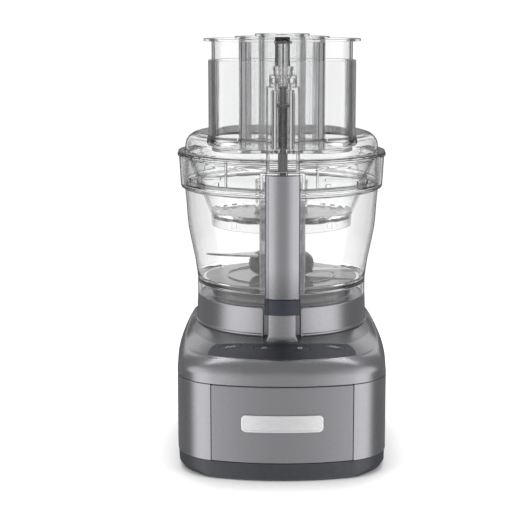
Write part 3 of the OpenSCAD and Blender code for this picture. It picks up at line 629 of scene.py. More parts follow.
def make_base():
    aR, aL = front_of()
    extra = [aR - 0.03, aR + 0.03, aL - 0.03, aL + 0.03]
    th = np.sort(np.concatenate([TH, extra]))
    p0, p26, p3, p56 = (polar(plan(d), th) for d in (0, 2.6, 3, 5.6))
    x = p0 * np.cos(np.radians(th))
    inset = (th > aL) & (th < aR)
    rp = np.where(inset, p26, p0)
    rin = np.where((np.abs(x) < 74) & (np.sin(np.radians(th)) < 0), p56, p3)
    prof = [rounded([(rin[i], 17.3), (rp[i], 17.3, 0.5), (rp[i], SEAM, 0.6), (rin[i], SEAM)], 3) for i in range(len(th))]
    o = ring_of(prof, th)
    back = lambda r, y0, y1, x_, z_: shape(revolve([(0, 0), (r, 0), (r, y1 - y0), (0, y1 - y0)], 48),
                                           lambda c: Vector((x_ + c.x, y0 + c.z, z_ + c.y)))
    cut(o, back(7, 100, 125, -45, 40), back(10.4, 113.3, 125, -45, 40))
    slots = []
    for i in range(-3, 4):
        s = prism(rect(20 + i * 7, 23 + i * 7, 34, 60, 1.45, 5), 100, 125, 0)
        slots.append(shape(s, lambda c: Vector((c.x, c.z, c.y))))
        bm = bmesh.new(); bm.from_mesh(s.data); bmesh.ops.recalc_face_normals(bm, faces=bm.faces); bm.to_mesh(s.data); bm.free()
    cut(o, together(slots))
    piece(o, "lower_housing_shell", "housing", "base", "lower_housing")

    # loose front panel and the bare name plate, bent to the front's curve
    def bent(x0, x1, z0, z1, d0, d1, b, n=60, corner=0.0):
        xs = [x0, *[x0 + b * (1 - math.cos(t)) for t in np.linspace(0, PI / 2, 4)[1:]],
              *np.linspace(x0 + b, x1 - b, n)[1:-1], *[x1 - b * (1 - math.cos(t)) for t in np.linspace(PI / 2, 0, 4)[:-1]], x1]
        P = []
        for xx in xs:
            e = min(xx - x0, x1 - xx)
            ins = b * (1 - math.sqrt(max(0, 1 - (1 - min(e, b) / b) ** 2))) if e < b else 0.0
            cz = corner - math.sqrt(max(0, corner ** 2 - (corner - e) ** 2)) if e < corner else 0.0
            za, zb = z0 + cz + ins, z1 - cz - ins
            loop = rounded([(za, d0 + ins, b), (zb, d0 + ins, b), (zb, d1), (za, d1)], 3)
            ph = math.asin(xx / 215)
            P.append([((215 - d) * math.sin(ph), 73 - (215 - d) * math.cos(ph), z) for z, d in loop])
        return grid(P, wu=False, caps=True)
    piece(bent(-66, 66, 17.5, SEAM - 0.5, 0.1, 2.5, 0.7), "front_panel_skin", "front_panel", "base", "front_panel")
    w, h, zc = 75.5, 16.2, 55.3
    plate = bent(-w / 2, w / 2, zc - h / 2, zc + h / 2, -1.15, 0.05, 0.5, 50, 4.2)
    field = bent(-w / 2 + 1.7, w / 2 - 1.7, zc - h / 2 + 1.7, zc + h / 2 - 1.7, -1.7, -0.8, 0.25, 50, 2.8)
    cut(plate, field)
    piece(plate, "name_plate_bare", "name_plate", "base", "name_plate")

    # moulded tray
    th2 = th
    q07, q14, q36, q8, q37 = (polar(plan(d), th2) for d in (0.7, 1.5, 4.2, 8, 3.7))
    # 1 along the straight front, 0 round the sides and back
    flat = np.clip((aR + 9 - th2) / 9, 0, 1) * np.clip((th2 - aL + 9) / 9, 0, 1)
    flat = flat * flat * (3 - 2 * flat)
    prof = []
    for i in range(len(th2)):
        f = flat[i]
        low, knee = 1.0, 2.4 * f + 6.5 * (1 - f)
        foot = q14[i] * f + (q36[i] - 0.5) * (1 - f)
        prof.append(rounded([(q37[i], 16.9), (q07[i], 16.9, 0.5), (q07[i] - 0.3, knee, 2.5), (foot, low, 0.8 * f + 2.0 * (1 - f)), (q8[i] - 6, low), (q8[i] - 6, 5), (q8[i], 5, 1.0)], 4))
    rim = ring_of(prof, th2)
    fl = polar(plan(13.6), th2)
    floor = grid([[(fl[i] * math.cos(math.radians(t)), fl[i] * math.sin(math.radians(t)), z) for i, t in enumerate(th2)] for z in (1.0, 5.0)], wu=False, caps=True)
    o = add(rim, floor)
    holes = []
    for px, py in ((-72, -98), (72, -98), (-72, 84), (72, 84)):
        holes.append(prism(disc(px, py, 9.3, 40), 0, 2.5, 0))
    for px, py in ((-84, -60), (84, -60), (-84, 60), (84, 60)):
        holes.append(prism(disc(px, py, 4.2, 32), 0, 4.6, 0))
    for i in range(-4, 5):
        holes.append(prism(rect(i * 9 - 1.5, i * 9 + 1.5, 52, 86, 1.45, 4), 0, 12, 0))
    cut(o, together(holes))
    bosses = [revolve([(0, 4.7), (5, 4.7), (5, 16.9), (0, 16.9)], 40, px, py) for px, py in ((-84, -60), (84, -60), (-84, 60), (84, 60))]
    bosses += [revolve([(0, 4.7), (6, 4.7), (6, 10), (0, 10)], 40, px, py) for px, py in ((-58, -40), (58, -40), (-56, 78), (56, 78))]
    add(o, together(bosses))
    piece(o, "base_tray_moulding", "tray", "base", "base_tray")
    feet = [revolve(rounded([(0, 0), (3.2, 0), (3.4, 0.35, 0.2), (4.2, 0.35, 0.2), (4.4, 0), (8.2, 0, 0.7), (9, 0.9, 0.4), (9, 2.45), (0, 2.45)], 3, False), 48, px, py)
            for px, py in ((-72, -98), (72, -98), (-72, 84), (72, 84))]
    piece(together(feet), "rubber_feet_moulded", "rubber", "base", "rubber_feet")


FOOT = 84.6
RG, P05 = polar(ridge(), TH), polar(plan(0.5), TH)


def ridge_height(t):
    q = ridge3()
    a = np.degrees(np.arctan2(q[:, 1], q[:, 0])) % 360
    k = np.argsort(a)
    a, z = a[k], q[k, 2]
    return np.interp(t % 360, np.concatenate([a - 360, a, a + 360]), np.concatenate([z, z, z]))


RZ = ridge_height(TH)


def deck_z(x, y):
    """Height of the deck between its ridge and the foot of the bowl seat."""
    r = math.hypot(x, y)
    t = math.degrees(math.atan2(y, x)) % 360
    around = np.concatenate([TH - 360, TH, TH + 360])
    g = float(np.interp(t, around, np.concatenate([RG, RG, RG])))
    zr = float(np.interp(t, around, np.concatenate([RZ, RZ, RZ])))
    return 124.1 - (124.1 - zr) * (r - FOOT - 0.4) / (g - FOOT - 0.4)


LENS = 69.0


def lens_edges(g=0.0):
    """Back and front edge of the control panel at each x."""
    rg = ridge(1.5 - g)
    rg = rg[rg[:, 1] < 0]
    k = np.argsort(rg[:, 0])
    def f(x):
        a = min(abs(x), LENS + g)
        back = 80.7 - math.sqrt((180 - g) ** 2 - a * a)
        front = float(np.interp(x, rg[k, 0], rg[k, 1]))
        if a > LENS - 10:
            t = min((a - LENS + 10) / (10.0 + g), 1)
            back -= (back - front - 0.6) * (1 - math.sqrt(max(0, 1 - t * t)))
        return front, back
    return f


def lens_solid(g, z0, z1, top=None, b=0.3, n=90):
    f = lens_edges(g)
    lim = LENS + g
    u = np.linspace(-1, 1, n)
    xs = lim * np.sign(u) * (1 - (1 - np.abs(u)) ** 1.6)
    P = []
    for x in xs:
        y0, y1 = f(x)
        if top is None:
            P.append([(x, y0, z0), (x, y1, z0), (x, y1, z1), (x, y0, z1)])
        else:
            bb = min(b, (y1 - y0) / 4)
            ys = [y0, *np.linspace(y0 + bb, y1 - bb, 12), y1]
            up = [(x, y, deck_z(x, y) + top - (b if i in (0, 13) else 0)) for i, y in enumerate(ys)]
            dn = [(x, y, deck_z(x, y) - 2.6) for y in reversed(ys)]
            P.append(up + dn)
    return grid(P, wu=False, caps=True)


KEYS = [("high", -48.8, -99.5), ("low", -16.7, -107.5), ("off", 16.7, -107.5), ("pulse", 48.8, -99.5)]


def key_outline(x, y, g=0.0):
    w, d = 20 + 2 * g, 9.6 + 2 * g
    return rect(x - w / 2, x + w / 2, y - d / 2, y + d / 2, 3 + g, 6)


def make_deck():
    th = TH
    prof = []
    for i in range(len(th)):
        rg, a, zr = RG[i], P05[i], RZ[i]
        curve = []
        for t in np.linspace(0, 1, 12):
            curve.append((a - 0.1 - (a - 0.1 - rg) * (0.7 * t ** 2 + 0.3 * t ** 4), 96 + (zr - 96) * t))
        inner = [(r - 3.2 - 1.6 * k / 11, z - 2.0) for k, (r, z) in enumerate(curve)]
        prof.append(rounded([(a - 2.6, SEAM + 0.3), (a, SEAM + 0.3, 0.5)] + curve[:-1] + [(rg + 0.5, zr - 0.6, 0.4), (rg - 0.9, zr + 0.13, 0.5), ((rg + FOOT) / 2, (124.1 + zr) / 2 + 0.25, 20), (FOOT + 0.6, 124.0, 1.2), (FOOT - 0.2, 124.3),
                             (FOOT - 0.2, 121.1), (rg - 4.8, zr - 3.6, 1)] + inner[-2:0:-1] + [(a - 3.2, 94.5)], 5))
    o = ring_of(prof)
    cut(o, prism(rect(-12.6, 12.6, -93.3, -75, 0.5, 3), 110, 130, 0))
    rows = []
    def post(d=0.0):
        w = 13.3 - d
        front = [(w * 0.955 * t, -94 + d + 2.0 * t * t) for t in np.linspace(-1, 1, 25)]
        front = [(-w, -90.0 + d), (-w * 0.99, -91.2 + d)] + front + [(w * 0.99, -91.2 + d), (w, -90.0 + d)]
        return np.array(front + [(w, -79.6 - d), (-w, -79.6 - d)])
    for z, grow in ((118.2, 0), (119.5, 0), (120.6, 2.6), (121.6, 2.3), (122.6, 1.7), (123.6, 1.1), (124.8, 0.6), (126.2, 0.25), (128, 0.0), (146.6, 0)):
        rows.append(np.column_stack([post(-grow), np.full(len(post()), z)]))
    for t in (0.33, 0.66, 1.0):
        rows.append(np.column_stack([post(1.4 * (1 - math.cos(t * PI / 2))), np.full(len(post()), 146.6 + 1.4 * math.sin(t * PI / 2))]))
    p = grid(rows, wu=False, caps=True)
    back = prism(rect(-30, 30, -79.6, -60, 0.3, 2), 110, 150, 0)
    cut(p, back, prism(disc(0, -86.8, 3.5, 40), 110, 160, 0), prism(disc(0, -86.8, 5.4, 40), 110, 135.2, 0))
    add(o, p)
    cut(o, lens_solid(0.3, 90, 140))
    piece(o, "top_cover_shell", "housing", "base", "top_cover", sharp=38)

    # bowl seat
    prof = rounded([(81.3, 122), (FOOT, 122, 0.3), (FOOT, 124.3, 0.4), (FOOT + 0.9, 124.9, 0.6), (FOOT + 0.9, 126.3, 0.6), (FOOT - 0.3, 127.0, 0.9), (83.3, 151.8, 1.3), (70.4, 151.8, 1.6),
                    (69, 153.2, 0.8), (69, 159, 0.9), (17, 159, 1.2), (17, 163, 0.8), (11.02, 163, 0.3), (11.02, 152), (8, 152), (8, 149), (14, 149),
                    (14, 156), (66, 156), (66, 148.6), (80.2, 148.6, 1.5)], 4)
    s = revolve(prof, 256)
    walls = [prism(rect(-19.6, 19.6, -79.75, -76.4, 0.2, 3), 118, 151.5, 0.3)]
    fins = []
    for sg in (-1, 1):
        fins.append(prism(rect(sg * 18.5 - 1.2, sg * 18.5 + 1.2, -84.1, -77.2, 1.15, 8), 124.15, 151.05, 0.5))
    for w in walls:
        add(s, w)
    outer = revolve([(0, 100), (FOOT + 1.5, 124.2), (FOOT + 1.5, 126.4), (84.6, 149.6), (84, 152.4), (0, 178)], 192)
    keep(s, turned(outer, 0.37))
    cut(s, prism(rect(-19.7, 19.7, -110, -79.9, 0.6, 3), 124.45, 150.8, 0))
    for w in fins:
        add(s, w)
    cut(s, prism(rect(-17.3, 17.3, -110, -79.5, 0.6, 3), 123.7, 160, 0), prism(rect(-13.5, 13.5, -110, -79.42, 0.3, 3), 110, 130, 0))
    lugs = []
    for a in (30, 150, 270):
        P = []
        for t in np.linspace(a - 10, a + 10, 22):
            P.append([(r * cosd(t), r * sind(t), z) for r, z in rounded([(68.6, 155.2), (76, 155.2, 0.8), (76, 158.6, 0.8), (68.6, 158.6)], 3)])
        lugs.append(grid(P, wu=False, caps=True))
    add(s, together(lugs))
    piece(s, "bowl_seat_ring", "housing", "base", "bowl_seat", sharp=38)

    # control panel and its four buttons
    c = lens_solid(0.0, 0, 0, 0.06)
    cut(c, together([prism(key_outline(x, y, 0.25), 90, 140, 0) for _, x, y in KEYS]))
    piece(c, "control_panel_skin", "control_panel", "base", "control_panel")
    for name, x, y in KEYS:
        fn = key_outline(x, y)
        n = len(fn())
        rows = []
        low = deck_z(x, y) - (7.4 if name in ("high", "pulse") else 3.8)
        for d in (4.0, 0.5):
            o2 = fn(d)
            rows.append([(q[0], q[1], low) for q in o2])
        rows.append([(q[0], q[1], low + 0.5) for q in fn(0)])
        for d, dz in ((0, -0.45), (0.08, -0.12), (0.4, 0.12)):
            rows.append([(q[0], q[1], deck_z(q[0], q[1]) + dz) for q in fn(d)])
        for k in (0.8, 0.55, 0.3):
            o2 = fn(0.4)
            cx, cy = o2[:, 0].mean(), o2[:, 1].mean()
            rows.append([(cx + k * (q[0] - cx), cy + k * (q[1] - cy), 0) for q in o2])
            rows[-1] = [(a, b, deck_z(a, b) + 0.12 - 0.16 * (1 - k)) for a, b, _ in rows[-1]]
        b = grid(rows, wu=False, caps=True)
        piece(b, name + "_button_cap", "control_panel", name + "_button", name + "_button")
        # a pale generic sign on each button
        def sign(path, r=0.34):
            pts = []
            for (x0, y0), (x1, y1) in zip(path[:-1], path[1:]):
                m = max(2, int(math.hypot(x1 - x0, y1 - y0) / 0.5))
                pts += [(x0 + (x1 - x0) * t / m, y0 + (y1 - y0) * t / m) for t in range(m)]
            pts.append(path[-1])
            return sweep([(x + a, y + q, deck_z(x + a, y + q) + 0.06) for a, q in pts], r, 8)
        signs = {
            "high": [[(-4.5, -1.2), (-2.2, 1.2), (0.1, -1.2)], [(0.3, -1.2), (2.6, 1.2), (4.9, -1.2)]],
            "low": [[(-2.6, -1.2), (0, 1.2), (2.6, -1.2)]],
            "off": [[(1.9 * cosd(t), 1.5 * sind(t)) for t in range(0, 361, 15)]],
            "pulse": [[(-5, 0), (-3, 0), (-2, 1.5), (-0.6, -1.5), (0.8, 1.5), (2.2, -1.5), (3, 0), (5, 0)]],
        }[name]
        s = together([sign(q) for q in signs])
        shape(s, lambda c: Vector((c.x, c.y, min(c.z, deck_z(c.x, c.y) + 0.17))))
        piece(s, name + "_button_sign", "control_panel", name + "_button", mat=MAT["mark"], weighted=False)


# ---------------------------------------------------------------- bowl and handle
BOWL = [(83.2, 152.3, 0.5), (83.2, 168, 3), (84.2, 176), (86, 188, 8), (87.2, 193.5), (90.8, 211.4, 30), (92.1, 218.5), (93.2, 230, 20), (93.9, 241.5, 20),
        (95.3, 257.2, 1.2), (98.6, 258.6, 0.9), (99.3, 260.2, 0.6), (100.8, 286, 1), (100.9, 289.4, 0.5), (102.4, 289.5, 0.5), (102.4, 291.5, 0.5), (98.5, 291.5, 0.7), (98.4, 286),
        (96.8, 261.6, 0.8), (93.8, 260.4, 0.8), (92.3, 241.5, 20), (91.6, 230, 20), (90.5, 218.5), (89.2, 211.4, 30), (85.6, 193.5), (84.4, 188, 8), (82.6, 176), (81.6, 171, 2),
        (78.6, 168, 1), (55, 168), (54.4, 169.4, 0.4), (53.2, 169.4, 0.4), (52.6, 168), (14.6, 168, 0.8), (12.9, 169.6), (12.9, 202, 0.5), (10.8, 202, 0.5),
        (10.8, 165.5, 0.5), (79.6, 165.5, 1), (80.8, 164, 0.8), (80.8, 152.3, 0.5)]


def sector(ro, ri, z0, z1, a, w, b=0.4, n=20, rise=0.0):
    P = []
    for i in range(n + 1):
        t = a - w / 2 + w * i / n
        dz = rise * i / n
        P.append([(r * cosd(t), r * sind(t), z + dz) for r, z in rounded([(ri, z0, b), (ro, z0, b), (ro, z1, b), (ri, z1, b)], 2)])
    return grid(P, wu=False, caps=True)


def grip(d=0.0):
    k = 10
    return np.array(arc((0, -109), 27 - d, -119, -61, 3 * k) + arc((12.2, -130.2), 4.4 - d, -61, 0, k)
                    + arc((12.2, -118), 4.4 - d, 0, 60, k) + [(12.4, -114 - d), (-12.4, -114 - d)]
                    + arc((-12.2, -118), 4.4 - d, 120, 180, k) + arc((-12.2, -130.2), 4.4 - d, 180, 241, k))


def make_bowl():
    o = revolve(rounded(BOWL, 4), 240)
    arm = prism(rect(-21, 21, -113.9, -110.6, 1.4, 4), 172, 284, 0.8)
    add(arm, prism(rect(-21, 21, -111.4, -94, 1.4, 4), 262, 284, 0.8), prism(rect(-15, 15, -111.4, -80, 1.4, 4), 172.3, 182.2, 0.8))
    cut(arm, prism(rect(-18.6, 18.6, -110.4, -96, 1.2, 4), 255, 281.8, 0.8))
    inner = revolve([(0, 168), (79, 168), (82.6, 178), (84.4, 190), (89.5, 212), (92, 240), (94, 260.8), (97.6, 261), (99.6, 291.5), (0, 292)], 240)
    cut(arm, inner)
    add(o, arm)
    add(o, together([sector(80.9, 72, 152.5, 154.8, a, 20) for a in (30, 150, 270)]))
    piece(o, "work_bowl_clear", "clear_bowl", "bowl", "work_bowl", sharp=30)

    h = prism(lambda d=0.0: grip(d + 0.6), 170.4, 284.2, 0.5, 3, 1.2)
    cut(h, prism(disc(0, -124, 7, 40), 255, 281.6, 0), prism(disc(0, -124, 5.2, 40), 160, 300, 0))
    piece(h, "handle_grip", "handle", "bowl", "bowl_handle")
    e = prism(grip, 155.4, 170.1, 1.6, 4, 0.4)
    add(e, prism(rect(-12, 12, -116, -82, 2, 4), 155.4, 170.1, 1.2, 3, 0.4))
    cut(e, prism(disc(0, 0, 83.4, 200), 140, 200, 0), prism(rect(-5, 5, -129, -84.2, 0.6, 3), 157, 168.2, 0), prism(disc(0, -86.8, 2.7, 32), 140, 160, 0),
        prism(disc(0, -124, 5.2, 40), 160, 180, 0))
    piece(e, "handle_end_moulding", "handle_end", "bowl", "handle_end_cap")

    i = revolve(rounded([(69.3, 220.5, 0.5), (69.6, 230.5, 1), (77.4, 250, 3), (81.6, 261.3, 0.5), (96.2, 261.7, 0.5), (96.2, 263.4, 0.5), (82.8, 263.4, 0.6), (84.8, 269), (88, 277, 20),
                         (90.6, 283), (91.8, 287, 0.5), (89.6, 287, 0.5), (88.2, 283), (85.6, 277, 20), (82.4, 269), (79.6, 262, 2), (75.4, 250, 3), (69.6, 235.6, 1), (64.6, 232.4, 2),
                         (61.6, 231.6, 1), (28.5, 231.6, 2), (26.2, 234), (26.2, 264, 0.6), (24.2, 264, 0.6), (24.2, 229.2, 0.4), (66.2, 229.2, 0.4), (67, 228.4), (67, 220.5, 0.5)], 4), 240)
    ribs = []
    for a in range(15, 360, 30):
        r = prism(rect(61, 66.9, -0.7, 0.7, 0.3, 2), 222.5, 229.6, 0.2)
        ribs.append(turned(r, a))
    add(i, together(ribs))
    piece(i, "inner_bowl_clear", "clear_bowl", "bowl", "inner_bowl", sharp=30, mat=MAT["clear_inner"])

    r = revolve(rounded([(0, 163.4), (3.4, 163.4, 0.4), (3.4, 276), (6.2, 276, 0.4), (6.2, 278, 0.4), (3.4, 278), (3.4, 283.7, 0.8), (0, 283.7)], 3, False), 48, 0, -124)
    add(r, prism(rect(-3, 3, -127, -84.6, 1, 3), 163.4, 167.6, 0.4), revolve(rounded([(0, 155.6), (2.2, 155.6, 0.5), (2.2, 165), (0, 165)], 3, False), 32, 0, -86.8))
    piece(r, "handle_rod_moulding", "white_plastic", "handle_rod", "handle_rod")


# ---------------------------------------------------------------- blade
def make_blade():
    hub = revolve(rounded([(13.3, 170, 0.4), (24, 170, 1), (28.5, 171.6, 3), (31.4, 174.8, 3), (32.7, 179.5, 6), (32.2, 184, 6), (30, 187.8, 4), (26.6, 190.4, 3), (22.5, 191.6, 1), (13.3, 191.6, 0.4)], 5), 144)
    piece(hub, "blade_hub_moulding", "blade_hub", "drive", "blade_hub")
    stem = revolve(rounded([(22, 191.7, 0.4), (22, 258.5, 4), (17, 262.4, 2), (0, 262.4), (0, 260), (17, 260, 1.5), (19.6, 258, 1), (19.6, 228, 1.5), (0, 228), (0, 224), (6.02, 224), (6.02, 203.4), (13.3, 203.4), (13.3, 191.7, 0.4)], 4), 144)
    piece(stem, "blade_stem_clear", "frosted_stem", "drive", "blade_stem", sharp=30)
    blades = []
    for z, a, tilt in ((172.4, -6, 0.0), (189.4, 174, 1.6)):
        P = []
        for j in range(41):
            t = j / 40
            x = 20 + 56 * t
            lead = -13 + 13.5 * t + 4 * math.sin(PI * t)
            trail = 17 - 11 * t * t - 4 * t
            lead = min(lead, trail - 0.6)
            x2 = x - 2 * t * t
            g = min(5.0, (trail - lead) * 0.55)
            sec = [(x2, trail, 0.0), (x2, trail, 1.8), (x, lead + g, 1.8), (x, lead, 0.35), (x, lead, 0.0)]
            P.append([(cosd(a) * u - sind(a) * v, sind(a) * u + cosd(a) * v, z + w - math.tan(math.radians(tilt)) * u) for u, v, w in sec])
        b = grid(P, wu=False, caps=True)
        blades.append(b)
    core = revolve([(0, 160), (24, 160), (24, 170), (28.5, 171.6), (31.4, 174.8), (32.6, 179.5), (32.1, 184), (29.9, 187.8), (26.5, 190.4), (22.3, 191.6), (22.3, 200), (0, 200)], 96)
    b = cut(together(blades), core)
    piece(b, "chopping_blades_ground", "blade_steel", "drive", "chopping_blades", sharp=12, weighted=False)
    sh = revolve(rounded([(0, 9), (6, 9, 0.6), (6, 27), (9.6, 27, 0.3), (9.6, 29, 0.3), (6, 29), (6, 64), (9.6, 64, 0.3), (9.6, 66, 0.3), (6, 66), (6, 222, 0.8), (0, 222)], 3, False), 64)
    piece(sh, "drive_shaft_turned", "shaft_steel", "drive", "drive_shaft")


# ---------------------------------------------------------------- lid and pushers
FY = -44.0


def make_lid():
    o = revolve(rounded([(96.1, 266, 0.6), (96.1, 291.7, 0.5), (101.7, 291.7, 0.6), (101.7, 293.9, 0.6), (95.6, 293.9, 0.8), (94.6, 295, 0.5), (94.6, 300, 5), (93.6, 304, 5), (91, 307.8, 5), (87, 310.8, 5),
                         (82, 312.4, 4), (0, 312.4), (0, 310), (81.5, 310, 3), (85.6, 308.7, 4), (89, 306.2, 4), (91.4, 303, 4), (92.2, 299.6, 3), (92.2, 294.4, 1), (93.8, 291, 1), (93.8, 266, 0.6)], 4), 240)
    outer, inn = moved(track(140, 70), 0, FY), moved(track(134.8, 64.8), 0, FY)
    add(o, prism(outer, 303, 383.5, 0.5, 3, 0.8))
    cut(o, prism(inn, 280, 400, 0))
    ribs = []
    for a in (237.5, 289.5, 30, 150):
        r = prism(rect(95.6, 98.1, -0.9, 0.9, 0.3, 2), 266.4, 291.9, 0.3)
        ribs.append(turned(r, a))
    for a, w, rs in ((222, 24, 3.0), (306, 24, -3.0), (90, 24, 3.0)):
        ribs.append(sector(98.0, 95.7, 272.0 - rs / 2, 274.2 - rs / 2, a, w, 0.3, 20, rs))
    for a in (205, 214, 231, 296, 318, 327):
        r = prism(rect(95.7, 97.8, -2.6, 2.6, 0.4, 2), 267.0, 270.5, 0.4)
        ribs.append(turned(r, a))
    add(o, together(ribs))
    piece(o, "lid_clear", "clear_lid", "lid", "lid", "feed_tube", sharp=30)

    h = prism(rect(-15.1, 15.1, -137.6, -110, 2.2, 5), 284.6, 363, 0.8)
    add(h, prism(rect(-12.3, 12.3, -135, -112, 2, 4), 362, 373.2, 0.6), revolve(rounded([(0, 372), (8.7, 372), (8.7, 377.5), (9.3, 377.5, 0.2), (9.3, 381, 0.8), (0, 381)], 3, False), 66, 0, -124))
    for s in (-1, 1):
        add(h, prism(rect(s * 10 - 1.1, s * 10 + 1.1, -112, -79.1, 0.4, 2), 294, 356, 0.4))
    dome = revolve([(0, 280), (94.7, 280), (94.7, 299.9), (88.1, 310), (88.1, 312.5), (0, 312.5)], 200)
    cut(h, dome, prism(disc(0, -124, 10.2, 52), 307, 360.4, 0.6), prism(rect(-12.9, 12.9, -135.4, -112.2, 1.4, 4), 287, 304.6, 0.6),
        prism(disc(0, -124, 4.9, 44), 280, 310, 0), prism(disc(0, -124, 7.4, 50), 340, 400, 0), prism(rect(-10.3, 10.3, -133, -114, 1.2, 4), 365.4, 371, 0.5))
    piece(h, "interlock_housing_clear", "clear_lid", "lid", "interlock_housing", sharp=30)
    r = revolve(rounded([(0, 284.5), (4.4, 284.5, 0.8), (4.4, 345), (9, 345, 0.4), (9, 347.5, 0.4), (4.4, 347.5), (4.4, 361.4), (6.9, 361.4, 0.3), (6.9, 363.3, 0.5), (0, 363.3)], 3, False), 64, 0, -124)
    piece(r, "lid_rod_moulding", "lid_rod", "lid_rod", "lid_rod")


def make_pushers():
    T = lambda w, h: moved(track(w, h), 0, FY)
    o = prism(T(133.4, 63.4), 297.6, 403.2, 1.0, 3, 0.0)
    add(o, prism(T(148.4, 78.4), 401, 403.3, 0.5), prism(rect(-8, 8, -131, -78, 3, 5), 401, 403.3, 0.4))
    cut(o, prism(T(129, 59), 300.1, 420, 1.0))
    guide = prism(T(82.4, 55), 299.5, 403.3, 0.0, 3, 0.4)
    cut(guide, prism(T(77.6, 50.2), 290, 410, 0), prism(rect(-19, 19, -90, 0, 0.5, 2), 290, 410, 0))
    add(o, guide)
    cut(o, prism(T(77.6, 50.2), 290, 410, 0))
    for s in (-1, 1):
        for y0 in (-74.3, -17.8):
            add(o, prism(rect(s * 30 - 1, s * 30 + 1, y0, y0 + 4.1, 0.2, 2), 299.8, 401, 0.2))
    leg = revolve(rounded([(0, 363.7), (4.3, 363.7, 0.6), (4.6, 401.4), (0, 401.4)], 3, False), 48, 0, -124)
    add(o, leg)
    piece(o, "large_pusher_clear", "clear_pusher", "large_pusher", "large_pusher", sharp=30)

    m = prism(T(76.4, 49), 297, 404.6, 1.0, 3, 0.0)
    add(m, prism(T(89.6, 62.2), 403.5, 405.4, 0.45))
    cut(m, prism(T(72, 44.6), 299.4, 420, 1.0))
    add(m, revolve(rounded([(20.3, 297), (22.3, 297), (22.3, 405.4, 0.4), (20.3, 405.4, 0.4)], 3), 96, 0, FY))
    cut(m, prism(disc(0, FY, 20.3, 96), 290, 410, 0))
    piece(m, "medium_pusher_clear", "clear_pusher", "medium_pusher", "medium_pusher", sharp=30)

    s = revolve(rounded([(0, 296.4), (19.8, 296.4, 1), (19.8, 405.7, 0.6), (25.8, 405.7, 0.4), (25.8, 407.8, 0.6), (17.6, 407.8, 0.6), (17.6, 299, 1), (0, 299)], 4, False), 96, 0, FY)
    piece(s, "small_pusher_clear", "clear_pusher", "small_pusher", "small_pusher", sharp=30)


# ---------------------------------------------------------------- springs and the switch plunger
def coil(name, body, node, x, y, ri, ro, z0, z1, turns, mat=None):
    w = (ro - ri) / 2
    rm = (ri + ro) / 2
    n = int(turns * 22)
    pts = []
    for i in range(n + 1):
        t = i / n
        zz = z0 + w + (z1 - z0 - 2 * w) * t
        a = 2 * PI * turns * t
        pts.append((x + rm * math.cos(a), y + rm * math.sin(a), zz))
    o = sweep(pts, w * 0.98, 10)
    p = piece(o, name, "spring_steel", body, node, weighted=False, sharp=50, mat=mat)
    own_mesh(p)
    return p


def make_springs():
    coil("lid_rod_spring_coil", "lid", "lid_rod_spring", 0, -124, 4.9, 6.3, 307.05, 344.95, 23, MAT["dark_wire"])
    coil("handle_rod_spring_coil", "bowl", "handle_rod_spring", 0, -124, 4.2, 5.8, 255.05, 275.95, 6)
    coil("plunger_spring_coil", "base", "plunger_spring", 0, -86.8, 3.5, 4.7, 118.0, 132.95, 6)
    o = revolve(rounded([(0, 113.2), (3.2, 113.2, 0.5), (3.2, 133), (5.05, 133, 0.3), (5.05, 135, 0.3), (3.2, 135), (3.2, 152, 0.9), (0, 152)], 3, False), 48, 0, -86.8)
    piece(o, "switch_plunger_moulding", "white_plastic", "switch_plunger", "switch_plunger")


make_base()
make_deck()
make_bowl()
make_blade()
make_lid()
make_pushers()
make_springs()

# the parts inside the base keep their CAD shape
SLOTS = {s["node"]: s["material_slot"] for s in frame["record"]["subparts"]}
for n, o in frame["nodes"].items():
    m = MAT.get(SLOTS.get(n, ""), MAT["black_plastic"])
    if not o.data.materials:
        o.data.materials.append(m)
    for s in o.material_slots:
        s.link = "OBJECT"
        s.material = m

# ---------------------------------------------------------------- floor, light and camera
me = bpy.data.meshes.new("floor")
me.from_pydata([(0.9 * cosd(a), 0.9 * sind(a), -0.0003) for a in range(0, 360, 5)], [], [tuple(range(72))])
floor = bpy.data.objects.new("floor", me)
scene.collection.objects.link(floor)
m, nt, p, out = new_mat("pale_floor")
v = coords(nt)
nt.links.new(ramp(nt, noise(nt, v, 3, 2), [(0.3, (0.77, 0.77, 0.775)), (0.7, (0.80, 0.80, 0.802))]), p.inputs["Base Color"])
p.inputs["Roughness"].default_value = 0.6
p.inputs["Specular IOR Level"].default_value = 0.15
p.inputs["Emission Color"].default_value = (1, 1, 1, 1)
p.inputs["Emission Strength"].default_value = 0.0
sx = nt.nodes.new("ShaderNodeVectorMath")
sx.operation = "LENGTH"
nt.links.new(v, sx.inputs[0])
tr = nt.nodes.new("ShaderNodeBsdfTransparent")
fx = nt.nodes.new("ShaderNodeMixShader")
fd = nt.nodes.new("ShaderNodeMapRange")
fd.interpolation_type = "SMOOTHSTEP"
fd.inputs["From Min"].default_value = 0.45
fd.inputs["From Max"].default_value = 0.85
nt.links.new(sx.outputs["Value"], fd.inputs["Value"])
nt.links.new(fd.outputs[0], fx.inputs[0])
nt.links.new(p.outputs[0], fx.inputs[1])
nt.links.new(tr.outputs[0], fx.inputs[2])
nt.links.new(fx.outputs[0], out.inputs["Surface"])
me.materials.append(m)
floor.visible_glossy = False
floor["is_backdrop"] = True

w = bpy.data.worlds.new("studio")
scene.world = w
w.use_nodes = True
nt = w.node_tree
nt.nodes.clear()
out = nt.nodes.new("ShaderNodeOutputWorld")
tc = nt.nodes.new("ShaderNodeTexCoord")
sep = nt.nodes.new("ShaderNodeSeparateXYZ")
nt.links.new(tc.outputs["Generated"], sep.inputs[0])


